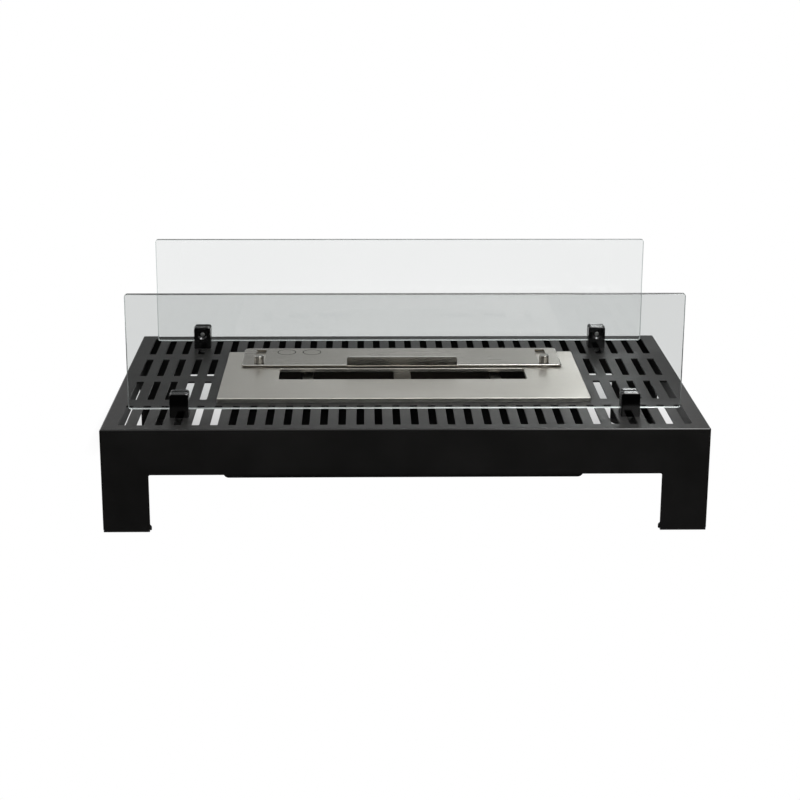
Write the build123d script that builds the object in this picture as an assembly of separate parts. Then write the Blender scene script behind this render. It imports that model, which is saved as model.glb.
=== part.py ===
from build123d import *
import os

# Tabletop bioethanol fireplace: a slotted sheet-steel table on four corner legs,
# a drop-in stainless burner with a sliding regulator lid, and two glass screens in clamps.
# Millimetres. Origin on the floor under the middle of the table, +Z up, front towards -Y.

# ---- table ----
table_width = 600.0
table_depth = 340.0
table_height = 107.0          # floor to the table's upper face
sheet = 2.0                   # steel of the top and the four panels
edge_radius = 1.8             # dressed outer edges of the welded table
apron_height = 47.0           # upper face down to the apron's lower edge
leg_width = 46.5
arch_corner_radius = 2.0
toe_radius = 2.0              # lower corners of the front and back legs
foot_flange_depth = 18.0      # strip that closes the bottom of each leg
foot_lip = 1.3                # foot plate past the leg's inner edges
foot_end_radius = 15.0        # inner corner at each end of the foot plates and pads
foot_pad_thickness = 1.5
foot_pad_inset = 0.5

# ---- air slots in the table top ----
slot_side_columns = 5         # at each end, beside the burner plate, in every row
slot_middle_columns = 22      # between them, in the front and back rows only
slot_side_margin = 20.0       # table end to the centre of the last column
slot_side_land = 11.442       # burner plate's end to the nearest slot beside it
slot_edge_margin = 14.5       # table's front or back edge to the outer rows
slot_plate_land = 8.5         # burner plate's front or back edge to the outer rows
slot_width = 7.6
slot_corner_radius = 1.3
slot_rows = 4

# ---- stainless burner ----
plate_width = 385.0
plate_depth = 170.0
plate_rise = 5.0              # table's upper face to the plate's upper face
plate_sheet = 1.5
plate_corner_radius = 2.0
plate_edge_radius = 0.9
seat_gap = 0.3                # air left under the plate's rim
mouth_width = 265.0
mouth_depth = 38.4
mouth_corner_radius = 1.5
neck_depth = 3.6              # downturned neck round the mouth, from the plate's upper face
bridge_width = 18.5
bridge_sheet = 1.5
plate_overhang_x = 9.5        # plate's end past the tank
plate_overhang_y = 13.5       # plate's front and back edges past the tank
tank_drop = 80.5             # table's upper face to the tank's underside
tank_sheet = 1.5
tank_corner_radius = 4.0
bar_width = 11.5
bar_spacing = 205.0           # centre to centre
bar_drop = 6.0                # table's upper face to the bars' upper face
wool_thickness = 35.0
wool_clearance = 1.0

# ---- cradle under the table ----
cradle_gap = 4.0              # air between the tank and the cradle
cradle_sheet = 1.5
cradle_drop = 85.0            # table's upper face to the cradle's underside
cradle_bend_radius = 6.0
cradle_flange = 10.0
cradle_stud_radius = 2.0
cradle_stud_length = 6.5
cradle_nut_flats = 7.0
cradle_nut_height = 3.2
cradle_end_stud_spacing = 80.0
cradle_side_stud_spacing = 220.0
stud_clearance = 0.2          # radial, studs and bolts in their holes

# ---- regulator lid that slides over the mouth ----
lid_width = 350.0
lid_depth = 66.0
lid_sheet = 2.0
lid_gap = 0.8                 # plate to the lid's underside
lid_corner_radius = 5.0
lid_setback = 4.8             # mouth's rear edge to the lid's front edge, fully open
lid_travel = 45.0
guide_radius = 5.2
guide_inset = 19.0            # lid's end to the guide stud's centre
guide_height = 11.4           # above the plate
guide_edge_radius = 1.0
guide_side_clearance = 0.3
guide_end_clearance = 0.3
guide_slot_land = 3.0         # lid's front edge to the guide slots
guide_slot_corner_radius = 2.0
spigot_radius = 2.5
spacer_radius = 8.0
spacer_thickness = 0.5
guide_nut_flats = 8.0
guide_nut_height = 4.0
lip_width = 120.0
lip_height = 9.9              # above the lid's upper face
lip_reach = 3.0               # ahead of the lid's front edge
lip_bend_radius = 3.5         # outside of the bend
lip_corner_radius = 2.5

# ---- glass screens and their clamps ----
glass_side_inset = 23.0       # table's end to the glass's end
glass_height = 118.5
glass_thickness = 5.0
glass_corner_radius = 3.0
glass_edge_radius = 0.6
glass_inset = 42.5            # table's edge to the glass's outer face
glass_lift = 7.0              # table's upper face to the glass's lower edge
liner_thickness = 0.5
clamp_column = 3              # column that a clamp is bolted through, counted from the last one
clamp_width = 19.0
clamp_height = 25.0
outer_jaw = 5.5
inner_jaw = 6.0
clamp_corner_radius = 3.0
clamp_edge_radius = 1.2
clamp_recess_radius = 5.3
clamp_recess_depth = 1.5
clamp_screw_height = 16.0
clamp_screw_radius = 2.5
clamp_screw_socket = 2.5      # across flats
clamp_screw_socket_depth = 2.0
clamp_bolt_radius = 2.4
clamp_bolt_grip = 4.5         # bolt's reach into the clamp's base
clamp_bolt_head_radius = 4.6
clamp_bolt_head_height = 2.8
clamp_washer_radius = 6.0
clamp_washer_thickness = 1.0

# ---- levels and faces that several pieces share ----
top_z = table_height
under_top_z = top_z - sheet
plate_z = top_z + plate_rise
plate_under_z = plate_z - plate_sheet
neck_z = plate_z - neck_depth
tank_floor_z = top_z - tank_drop + tank_sheet
lid_under_z = plate_z + lid_gap
lid_top_z = lid_under_z + lid_sheet
lid_front_y = mouth_depth / 2 + lid_setback
guide_slot_length = lid_travel + 2 * guide_radius + 2 * guide_end_clearance
guide_slot_front_y = lid_front_y + guide_slot_land
guide_x = lid_width / 2 - guide_inset
guide_y = guide_slot_front_y + guide_end_clearance + guide_radius
tank_width = plate_width - 2 * plate_overhang_x
tank_depth = plate_depth - 2 * plate_overhang_y
cutout_width = tank_width + 2 * cradle_gap
cutout_depth = tank_depth + 2 * cradle_gap
cradle_width = cutout_width + 2 * cradle_sheet
cradle_depth = cutout_depth + 2 * cradle_sheet
side_column_x = plate_width / 2 + slot_side_land + slot_width / 2
last_column_x = table_width / 2 - slot_side_margin
side_pitch = (last_column_x - side_column_x) / (slot_side_columns - 1)
middle_pitch = 2 * side_column_x / (slot_middle_columns + 1)
slot_length = (table_depth - plate_depth) / 2 - slot_edge_margin - slot_plate_land
row_pitch = (table_depth - 2 * slot_edge_margin - slot_length) / (slot_rows - 1)
glass_width = table_width - 2 * glass_side_inset
clamp_x = last_column_x - clamp_column * side_pitch
clamp_depth = outer_jaw + glass_thickness + 2 * liner_thickness + inner_jaw
clamp_face_y = table_depth / 2 - glass_inset + liner_thickness + outer_jaw
clamp_y = clamp_face_y - clamp_depth / 2
glass_y = table_depth / 2 - glass_inset - glass_thickness / 2
liner_floor_z = top_z + glass_lift - liner_thickness

SIDES = {"left": -1, "right": 1}
ENDS = {"front": -1, "back": 1}


def block(x_range, y_range, z_range):
    """Box between two corners, each range given as (low, high)."""
    sizes = [high - low for low, high in (x_range, y_range, z_range)]
    middle = [(low + high) / 2 for low, high in (x_range, y_range, z_range)]
    return Pos(*middle) * Box(*sizes)


def slab(width, depth, radius, z_low, z_high):
    """Upright slab, centred on the origin, with rounded corners in plan."""
    return Pos(0, 0, z_low) * extrude(RectangleRounded(width, depth, radius), z_high - z_low)


def rod(radius, z_low, z_high):
    return Pos(0, 0, (z_low + z_high) / 2) * Cylinder(radius, z_high - z_low)


def hex_nut(flats, bore_radius, z_low, z_high):
    nut = Pos(0, 0, z_low) * extrude(RegularPolygon(flats / 2, 6, major_radius=False), z_high - z_low)
    return nut - rod(bore_radius, z_low - 1, z_high + 1)


def save(name, *pieces):
    """Write one node. Several pieces in one node stay separate solids."""
    solids = [solid for piece in pieces for solid in piece.solids()]
    export_step(solids[0] if len(solids) == 1 else Compound(children=solids), f"parts/{name}.step")


# ---- table ----

def slot_centres():
    """Centres of the air slots: full outer rows, and middle rows only beside the burner plate."""
    right = [side_column_x + column * side_pitch for column in range(slot_side_columns)]
    beside = [-x for x in right] + right
    across = [(column + 1) * middle_pitch - side_column_x for column in range(slot_middle_columns)]
    for row in range(slot_rows):
        y = (row - (slot_rows - 1) / 2) * row_pitch
        for x in beside + (across if row in (0, slot_rows - 1) else []):
            yield x, y


def make_table_top():
    top = slab(table_width, table_depth, edge_radius, under_top_z, top_z)
    top = fillet(top.faces().sort_by(Axis.Z)[-1].edges(), edge_radius)
    slot = RectangleRounded(slot_width, slot_length, slot_corner_radius)
    slots = Sketch() + [Pos(x, y) * slot for x, y in slot_centres()]
    top -= Pos(0, 0, under_top_z) * extrude(slots, sheet)
    return top - slab(cutout_width, cutout_depth, tank_corner_radius, under_top_z, top_z)


def panel_outline(length, inner_leg, toe):
    """Apron with a leg at each end, drawn flat: X along the panel, Y up from the floor."""
    height = under_top_z - foot_pad_thickness
    outline = Pos(0, foot_pad_thickness + height / 2) * Rectangle(length, height)
    if toe:
        outline = fillet(outline.vertices().group_by(Axis.Y)[0], toe_radius)
    arch_top = top_z - apron_height
    gap = length - 2 * inner_leg
    arch_height = arch_top - foot_pad_thickness
    arch = Pos(0, foot_pad_thickness + arch_height / 2) * Rectangle(gap, arch_height)
    outline -= fillet(arch.vertices().group_by(Axis.Y)[-1], arch_corner_radius)
    if toe:
        inner_toes = [v for v in outline.vertices().group_by(Axis.Y)[0] if abs(abs(v.X) - gap / 2) < 0.01]
        outline = fillet(inner_toes, toe_radius)
    return outline


def make_long_panel(side):
    """Front or back panel, whose ends show at the table's corners."""
    panel = extrude(Plane.XZ * panel_outline(table_width, leg_width, True), sheet)
    corners = panel.edges().filter_by(Axis.Z).group_by(Axis.Y)[0]
    outer = [edge for edge in corners if abs(edge.center().X) > table_width / 2 - 0.01]
    panel = Pos(0, sheet - table_depth / 2, 0) * fillet(outer, edge_radius)
    return panel if side < 0 else Rot(0, 0, 180) * panel


def make_end_panel(side):
    """Left or right panel, welded between the long ones."""
    length = table_depth - 2 * sheet
    panel = extrude(Plane.XZ * panel_outline(length, leg_width - sheet, False), sheet)
    panel = Pos(0, sheet - table_width / 2, 0) * panel
    return Rot(0, 0, 90 * side) * panel


def corner_angle(side, end, outer_gap, strip, reach, z_low, z_high):
    """L-shaped strip that follows both faces of one leg, with its ends' inner corners rounded."""
    outer_x = table_width / 2 - outer_gap
    outer_y = table_depth / 2 - outer_gap
    inner_x = table_width / 2 - reach
    inner_y = table_depth / 2 - reach
    end_radius = min(foot_end_radius, 0.95 * (strip - outer_gap))
    along_x = block((inner_x, outer_x), (table_depth / 2 - strip, outer_y), (z_low, z_high))
    along_x = fillet(along_x.edges().filter_by(Axis.Z).sort_by(Axis.X)[:2].sort_by(Axis.Y)[0], end_radius)
    along_y = block((table_width / 2 - strip, outer_x), (inner_y, outer_y), (z_low, z_high))
    along_y = fillet(along_y.edges().filter_by(Axis.Z).sort_by(Axis.Y)[:2].sort_by(Axis.X)[0], end_radius)
    angle = along_x + along_y
    if side < 0:
        angle = mirror(angle, Plane.YZ)
    return angle if end > 0 else mirror(angle, Plane.XZ)


def make_foot_plate(side, end):
    z_high = foot_pad_thickness + sheet
    return corner_angle(side, end, sheet, foot_flange_depth, leg_width + foot_lip, foot_pad_thickness, z_high)


def make_foot_pad(side, end):
    strip = foot_flange_depth - foot_pad_inset
    reach = leg_width - foot_pad_inset
    return corner_angle(side, end, foot_pad_inset, strip, reach, 0, foot_pad_thickness)


# ---- cradle ----

def cradle_fixings():
    """Places of the weld studs, in the middle of the cradle's flange."""
    end_x = cradle_width / 2 + cradle_flange / 2
    side_y = cradle_depth / 2 + cradle_flange / 2
    ends = [(sx * end_x, sy * cradle_end_stud_spacing / 2) for sx in (-1, 1) for sy in (-1, 1)]
    sides = [(sx * cradle_side_stud_spacing / 2, sy * side_y) for sx in (-1, 1) for sy in (-1, 1)]
    return ends + sides


def trough(width, depth, z_low, bend_radius):
    """Box whose two lower edges along Y are bends."""
    body = block((-width / 2, width / 2), (-depth / 2, depth / 2), (z_low, under_top_z))
    return fillet(body.edges().filter_by(Axis.Y).group_by(Axis.Z)[0], bend_radius)


def make_cradle():
    z_low = top_z - cradle_drop
    outside = trough(cradle_width, cradle_depth, z_low, cradle_bend_radius)
    flange = slab(cradle_width + 2 * cradle_flange, cradle_depth + 2 * cradle_flange, cradle_sheet,
                  under_top_z - cradle_sheet, under_top_z)
    inner_radius = max(cradle_bend_radius - cradle_sheet, 0.2)
    inside = trough(cutout_width, cutout_depth, z_low + cradle_sheet, inner_radius)
    cradle = outside + flange - inside
    for x, y in cradle_fixings():
        hole = rod(cradle_stud_radius + stud_clearance, under_top_z - cradle_sheet, under_top_z)
        cradle -= Pos(x, y, 0) * hole
    return cradle


def make_cradle_studs():
    stud = rod(cradle_stud_radius, under_top_z - cradle_stud_length, under_top_z)
    return [Pos(x, y, 0) * stud for x, y in cradle_fixings()]


def make_cradle_nuts():
    z_high = under_top_z - cradle_sheet
    nut = hex_nut(cradle_nut_flats, cradle_stud_radius, z_high - cradle_nut_height, z_high)
    return [Pos(x, y, 0) * nut for x, y in cradle_fixings()]


# ---- burner ----

def make_burner_plate():
    """Pressed plate: rim turned down outside, neck turned down round the mouth."""
    rim_z = top_z + seat_gap
    plate = slab(plate_width, plate_depth, plate_corner_radius, rim_z, plate_z)
    plate = fillet(plate.faces().sort_by(Axis.Z)[-1].edges(), plate_edge_radius)
    hollow = slab(plate_width - 2 * plate_sheet, plate_depth - 2 * plate_sheet, plate_corner_radius,
                  rim_z, plate_under_z)
    neck = slab(mouth_width + 2 * plate_sheet, mouth_depth + 2 * plate_sheet,
                mouth_corner_radius + plate_sheet, neck_z, plate_z - plate_sheet / 2)
    mouth = slab(mouth_width, mouth_depth, mouth_corner_radius, neck_z, plate_z)
    plate = plate - hollow + neck - mouth
    for side in SIDES.values():
        hole = rod(spigot_radius + stud_clearance, plate_under_z, plate_z)
        plate -= Pos(side * guide_x, guide_y, 0) * hole
    return plate


def make_tank():
    z_low = top_z - tank_drop
    inner_radius = max(tank_corner_radius - tank_sheet, 0.2)
    tank = slab(tank_width, tank_depth, tank_corner_radius, z_low, plate_under_z)
    return tank - slab(tank_width - 2 * tank_sheet, tank_depth - 2 * tank_sheet, inner_radius,
                       tank_floor_z, plate_under_z)


def make_bridge():
    """Strap under the middle of the mouth, between the neck's two long walls."""
    reach = mouth_depth / 2 + plate_sheet
    half = bridge_width / 2
    return block((-half, half), (-reach, reach), (neck_z - bridge_sheet, neck_z))


def make_bar(side):
    """Bar across the tank that keeps the wool down."""
    middle = side * bar_spacing / 2
    reach = tank_depth / 2 - tank_sheet
    z_high = top_z - bar_drop
    return block((middle - bar_width / 2, middle + bar_width / 2), (-reach, reach), (z_high - tank_sheet, z_high))


def make_wool():
    gap = 2 * (tank_sheet + wool_clearance)
    radius = max(tank_corner_radius - tank_sheet, 0.2)
    return slab(tank_width - gap, tank_depth - gap, radius, tank_floor_z, tank_floor_z + wool_thickness)


def make_guide(side):
    """Stud that guides the lid, with a threaded spigot through the plate."""
    body = rod(guide_radius, plate_z, plate_z + guide_height)
    body = fillet(body.edges().sort_by(Axis.Z)[-1], guide_edge_radius)
    body += rod(spigot_radius, plate_under_z - guide_nut_height, plate_z)
    return Pos(side * guide_x, guide_y, 0) * body


def make_spacer(side):
    ring = rod(spacer_radius, plate_z, plate_z + spacer_thickness)
    ring -= rod(guide_radius + guide_side_clearance, plate_z, plate_z + spacer_thickness)
    return Pos(side * guide_x, guide_y, 0) * ring


def make_guide_nut(side):
    nut = hex_nut(guide_nut_flats, spigot_radius, plate_under_z - guide_nut_height, plate_under_z)
    return Pos(side * guide_x, guide_y, 0) * nut


# ---- regulator lid ----

def lip_profile():
    """Section of the front lip in the YZ plane: flat, bend, upright."""
    outer = lip_bend_radius
    inner = max(lip_bend_radius - lid_sheet, 0.2)
    face_y = lid_front_y - lip_reach
    tip_z = lid_top_z + lip_height
    root_y = max(lid_front_y, face_y + outer) + lid_sheet
    flat = Pos((face_y + root_y) / 2, lid_under_z + lid_sheet / 2) * Rectangle(root_y - face_y, lid_sheet)
    upright = Pos(face_y + lid_sheet / 2, (lid_under_z + tip_z) / 2) * Rectangle(lid_sheet, tip_z - lid_under_z)
    section = flat + upright
    heel = [v for v in section.vertices() if abs(v.X - face_y) < 0.01 and abs(v.Y - lid_under_z) < 0.01]
    section = fillet(heel, outer)
    crook_y = face_y + lid_sheet
    crook = [v for v in section.vertices() if abs(v.X - crook_y) < 0.01 and abs(v.Y - lid_top_z) < 0.01]
    return fillet(crook, inner)


def make_lid():
    middle_y = lid_front_y + lid_depth / 2
    lid = Pos(0, middle_y, 0) * slab(lid_width, lid_depth, lid_corner_radius, lid_under_z, lid_top_z)
    lip = Pos(-lip_width / 2, 0, 0) * extrude(Plane.YZ * lip_profile(), lip_width)
    tips = lip.edges().filter_by(Axis.Y).group_by(Axis.Z)[-1]
    lid += fillet(tips, lip_corner_radius)
    slot_width_here = 2 * (guide_radius + guide_side_clearance)
    slot = slab(slot_width_here, guide_slot_length, guide_slot_corner_radius, lid_under_z, lid_top_z)
    for side in SIDES.values():
        lid -= Pos(side * guide_x, guide_slot_front_y + guide_slot_length / 2, 0) * slot
    return lid


# ---- glass and clamps, made at the back and turned round for the front ----

def place(piece, side, end):
    """Move a clamp's piece from the middle of the back edge to one corner of the table."""
    return Pos(side * clamp_x, 0, 0) * (piece if end > 0 else Rot(0, 0, 180) * piece)


def make_glass(end):
    z_low = top_z + glass_lift
    pane = Plane.XZ * RectangleRounded(glass_width, glass_height, glass_corner_radius)
    pane = Pos(0, glass_y + glass_thickness / 2, z_low + glass_height / 2) * extrude(pane, glass_thickness)
    rims = pane.faces().filter_by(Axis.Y).edges()
    pane = chamfer(rims, glass_edge_radius)
    return pane if end > 0 else Rot(0, 0, 180) * pane


def clamp_slot(margin):
    """Space between the jaws, less a margin on its walls and floor."""
    half = glass_thickness / 2 + liner_thickness - margin
    return block((-clamp_width, clamp_width), (glass_y - half, glass_y + half),
                 (liner_floor_z + margin, top_z + clamp_height + 1))


def make_clamp():
    """Block with a slot for the glass and a recessed screw in the jaw that faces the burner."""
    outline = Pos(0, top_z + clamp_height / 2) * Rectangle(clamp_width, clamp_height)
    outline = fillet(outline.vertices().group_by(Axis.Y)[-1], clamp_corner_radius)
    body = Pos(0, clamp_face_y, 0) * extrude(Plane.XZ * outline, clamp_depth)
    body = fillet(body.faces().filter_by(Axis.Y).edges().filter_by(lambda e: e.center().Z > top_z + 1),
                  clamp_edge_radius)
    body -= clamp_slot(0)
    face = clamp_face_y - clamp_depth
    bore = Pos(0, face, top_z + clamp_screw_height) * Rot(90, 0, 0) * Cylinder(
        clamp_screw_radius, 2 * inner_jaw)
    recess = Pos(0, face, top_z + clamp_screw_height) * Rot(90, 0, 0) * Cylinder(
        clamp_recess_radius, 2 * clamp_recess_depth)
    bolt_bore = Pos(0, clamp_y, 0) * rod(clamp_bolt_radius + stud_clearance, top_z, top_z + clamp_bolt_grip)
    return body - bore - recess - bolt_bore


def make_liner():
    """Rubber strip folded round the lower edge of the glass."""
    floor_z = liner_floor_z
    half = clamp_width / 2
    outer = glass_thickness / 2 + liner_thickness
    strip = block((-half, half), (glass_y - outer, glass_y + outer), (floor_z, top_z + clamp_height - 1))
    return strip - block((-half, half), (glass_y - glass_thickness / 2, glass_y + glass_thickness / 2),
                         (floor_z + liner_thickness, top_z + clamp_height))


def make_clamp_screw():
    """Grub screw that presses the liner onto the glass."""
    length = inner_jaw - clamp_recess_depth
    face = clamp_face_y - clamp_depth + clamp_recess_depth
    screw = Cylinder(clamp_screw_radius, length) - Pos(0, 0, length / 2 - clamp_screw_socket_depth) * extrude(
        RegularPolygon(clamp_screw_socket / 2, 6, major_radius=False), clamp_screw_socket_depth)
    return Pos(0, face + length / 2, top_z + clamp_screw_height) * Rot(90, 0, 0) * screw


def make_clamp_washer():
    z_high = under_top_z
    washer = rod(clamp_washer_radius, z_high - clamp_washer_thickness, z_high)
    return Pos(0, clamp_y, 0) * (washer - rod(clamp_bolt_radius + stud_clearance, 0, z_high))


def make_clamp_bolt():
    """Bolt from below, through the slot in the table top into the clamp's base."""
    seat_z = under_top_z - clamp_washer_thickness
    bolt = rod(clamp_bolt_radius, seat_z, top_z + clamp_bolt_grip)
    head = rod(clamp_bolt_head_radius, seat_z - clamp_bolt_head_height, seat_z)
    bolt += fillet(head.edges().sort_by(Axis.Z)[0], clamp_bolt_head_height / 2)
    return Pos(0, clamp_y, 0) * bolt


# ---- write every node ----
os.makedirs("parts", exist_ok=True)

save("table_top", make_table_top())
for end_name, end in ENDS.items():
    save(f"{end_name}_panel", make_long_panel(end))
    save(f"{end_name}_glass", make_glass(end))
for side_name, side in SIDES.items():
    save(f"{side_name}_panel", make_end_panel(side))
    save(f"wool_bar_{side_name}", make_bar(side))
    save(f"guide_stud_{side_name}", make_guide(side))
    save(f"guide_spacer_{side_name}", make_spacer(side))
for end_name, end in ENDS.items():
    for side_name, side in SIDES.items():
        corner = f"{end_name}_{side_name}"
        save(f"foot_plate_{corner}", make_foot_plate(side, end))
        save(f"foot_pad_{corner}", make_foot_pad(side, end))
        save(f"glass_clamp_{corner}", place(make_clamp(), side, end))
        save(f"clamp_liner_{corner}", place(make_liner(), side, end))
        save(f"clamp_screw_{corner}", place(make_clamp_screw(), side, end))
        save(f"clamp_washer_{corner}", place(make_clamp_washer(), side, end))
        save(f"clamp_bolt_{corner}", place(make_clamp_bolt(), side, end))
save("burner_cradle", make_cradle())
save("cradle_studs", *make_cradle_studs())
save("cradle_nuts", *make_cradle_nuts())
save("burner_plate", make_burner_plate())
save("burner_tank", make_tank())
save("mouth_bridge", make_bridge())
save("ceramic_wool", make_wool())
save("guide_nuts", *[make_guide_nut(side) for side in SIDES.values()])
save("regulator_lid", make_lid())
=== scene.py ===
"""Looks of a tabletop bioethanol fireplace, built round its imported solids.

Sizes are in millimetres, as a maker would write them, and every finished mesh is
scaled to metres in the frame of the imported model.
"""
from __future__ import annotations

import logging
import math
from dataclasses import dataclass, replace
from enum import Enum
from functools import cache
from typing import Callable, Iterable, Sequence

import bmesh
import bpy
from mathutils import Matrix, Vector
from mathutils.geometry import tessellate_polygon


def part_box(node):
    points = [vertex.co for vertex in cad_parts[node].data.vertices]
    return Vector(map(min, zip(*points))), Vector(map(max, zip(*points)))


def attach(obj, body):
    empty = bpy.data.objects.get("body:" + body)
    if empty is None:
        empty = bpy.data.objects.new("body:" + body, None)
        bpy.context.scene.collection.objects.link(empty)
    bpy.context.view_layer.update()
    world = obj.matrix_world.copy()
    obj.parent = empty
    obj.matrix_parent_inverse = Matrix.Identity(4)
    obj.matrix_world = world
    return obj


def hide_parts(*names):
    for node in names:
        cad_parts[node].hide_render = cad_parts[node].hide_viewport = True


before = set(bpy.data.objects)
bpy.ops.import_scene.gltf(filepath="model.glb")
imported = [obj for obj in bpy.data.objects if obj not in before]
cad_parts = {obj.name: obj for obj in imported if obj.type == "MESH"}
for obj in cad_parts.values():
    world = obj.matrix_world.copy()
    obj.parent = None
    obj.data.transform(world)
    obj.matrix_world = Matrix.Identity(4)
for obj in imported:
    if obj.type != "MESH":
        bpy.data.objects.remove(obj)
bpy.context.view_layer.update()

LOG = logging.getLogger("fireplace")
MM = 0.001  # metres in a millimetre
WELD = 0.0005  # points nearer than this become one, in millimetres
HAIR = 0.01  # places nearer than this count as the same, in millimetres
CLEAR = 0.1  # distance past a bend or a face that is safely off it, in millimetres
OVER = 1.0  # how far a cutter or a blank reaches past what it shapes, in millimetres
ALONG = 0.9  # least share of a direction that counts as along an axis
SQUARE = 0.99  # least share of a normal that counts as square to an axis
CUT_ANGLE = 60.0  # least angle of an edge that a cutter leaves, in degrees
WHITE = (1.0, 1.0, 1.0, 1.0)
Point = tuple[float, float]
Place = tuple[float, float, float]
Colour = tuple[float, float, float]
Outline = Callable[[float], list[Point]]
Socket = bpy.types.NodeSocket


class Body(Enum):
    """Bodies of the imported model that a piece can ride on."""

    TABLE = "table"
    BURNER = "burner"
    LID = "lid"


class Slot(Enum):
    """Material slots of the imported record."""

    POWDER = "powder_black"
    CRADLE = "cradle_black"
    STEEL = "stainless"
    GLASS = "clear_glass"
    CHROME = "black_chrome"
    ZINC = "zinc_steel"
    PAD = "pad_rubber"
    LINER = "liner_rubber"
    WOOL = "wool_white"


class Grain(Enum):
    """Direction of the brushing on a steel piece."""

    ALONG_X = (1.0, 60.0, 60.0)
    ALONG_Z = (60.0, 60.0, 1.0)


# ---- node trees ----


class Canvas:
    """Places and links the nodes of one tree."""

    def __init__(self, tree: bpy.types.NodeTree) -> None:
        """Keep the tree that the nodes go into."""
        self.tree = tree

    def node(self, kind: str, inputs: dict[str | int, object] | None = None, **settings: object
             ) -> bpy.types.Node:
        """Add one node.

        Args:
            kind: Blender's name of the node's type.
            inputs: values or sockets by input name or number.
            settings: the node's own options.

        Returns:
            The new node.
        """
        made = self.tree.nodes.new(kind)
        for key, value in settings.items():
            setattr(made, key, value)
        for key, value in (inputs or {}).items():
            self.feed(made.inputs[key], value)
        return made

    def feed(self, target: Socket, value: object) -> None:
        """Link a socket, or set its value.

        Args:
            target: the input socket.
            value: a socket to link, or a constant.
        """
        if isinstance(value, bpy.types.NodeSocket):
            self.tree.links.new(value, target)
        else:
            target.default_value = value

    def math(self, operation: str, *values: object) -> Socket:
        """Add a Math node.

        Args:
            operation: Blender's name of the operation.
            values: one to three sockets or numbers.

        Returns:
            The result's socket.
        """
        made = self.node("ShaderNodeMath", operation=operation)
        for number, value in enumerate(values):
            self.feed(made.inputs[number], value)
        return made.outputs[0]

    def remap(self, value: Socket, low: float, high: float, to_low: float, to_high: float) -> Socket:
        """Map a value's range onto another one, clamped.

        Args:
            value: the socket to map.
            low: start of its range.
            high: end of its range.
            to_low: result at the start.
            to_high: result at the end.

        Returns:
            The result's socket.
        """
        inputs = {"Value": value, "From Min": low, "From Max": high, "To Min": to_low, "To Max": to_high}
        return self.node("ShaderNodeMapRange", inputs).outputs["Result"]

    def mix(self, factor: Socket, first: Colour | Socket, second: Colour) -> Socket:
        """Mix two colours.

        Args:
            factor: share of the second colour.
            first: colour at 0, or its socket.
            second: colour at 1.

        Returns:
            The colour's socket.
        """
        start = first if isinstance(first, bpy.types.NodeSocket) else (*first, 1.0)
        inputs = {"Factor": factor, 6: start, 7: (*second, 1.0)}
        return self.node("ShaderNodeMix", inputs, data_type="RGBA").outputs[2]

    def noise(self, vector: Socket, scale: float | Socket, detail: float, roughness: float) -> Socket:
        """Add a noise texture.

        Args:
            vector: where it is read.
            scale: its scale.
            detail: its number of octaves.
            roughness: share of each finer octave.

        Returns:
            The value's socket.
        """
        inputs = {"Vector": vector, "Scale": scale, "Detail": detail, "Roughness": roughness}
        return self.node("ShaderNodeTexNoise", inputs).outputs["Fac"]

    def split(self, vector: Socket) -> bpy.types.NodeOutputs:
        """Give the X, Y and Z sockets of a vector."""
        return self.node("ShaderNodeSeparateXYZ", {0: vector}).outputs


@dataclass(frozen=True)
class Ramp:
    """Even change of a value between two places, level beyond them."""

    low: float
    high: float
    start: float
    end: float

    def over(self, canvas: Canvas, value: Socket) -> Socket:
        """Give the ramp's value at a socket's value."""
        return canvas.remap(value, self.low, self.high, self.start, self.end)


def new_group(name: str, kind: str, inputs: Sequence[tuple[str, str, object]],
              outputs: Sequence[tuple[str, str]]
              ) -> tuple[bpy.types.NodeTree, Canvas, bpy.types.Node, bpy.types.Node]:
    """Start a node group with named sockets.

    Args:
        name: the group's name.
        kind: "ShaderNodeTree" or "GeometryNodeTree".
        inputs: name, socket type and default of each input.
        outputs: name and socket type of each output.

    Returns:
        The tree, its canvas, its input node and its output node.
    """
    tree = bpy.data.node_groups.new(name, kind)
    for label, socket_type, default in inputs:
        made = tree.interface.new_socket(name=label, in_out="INPUT", socket_type=socket_type)
        if default is not None:
            made.default_value = default
    for label, socket_type in outputs:
        tree.interface.new_socket(name=label, in_out="OUTPUT", socket_type=socket_type)
    canvas = Canvas(tree)
    return tree, canvas, canvas.node("NodeGroupInput"), canvas.node("NodeGroupOutput")


@cache
def grain_group() -> bpy.types.NodeTree:
    """Fine, even grain, as on powder coat or rubber.

    Returns:
        A group that gives a height and a broad mask.
    """
    tree, canvas, source, target = new_group(
        "fine_grain", "ShaderNodeTree",
        [("Vector", "NodeSocketVector", None), ("Grain Scale", "NodeSocketFloat", 1500.0),
         ("Patch Scale", "NodeSocketFloat", 12.0)],
        [("Height", "NodeSocketFloat"), ("Patches", "NodeSocketFloat")])
    vector, fine, broad = source.outputs[:3]
    canvas.feed(target.inputs["Height"], canvas.noise(vector, fine, 2.0, 0.55))
    patches = canvas.noise(vector, broad, 4.0, 0.6)
    canvas.feed(target.inputs["Patches"], canvas.remap(patches, 0.35, 0.65, 0.0, 1.0))
    return tree


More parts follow.
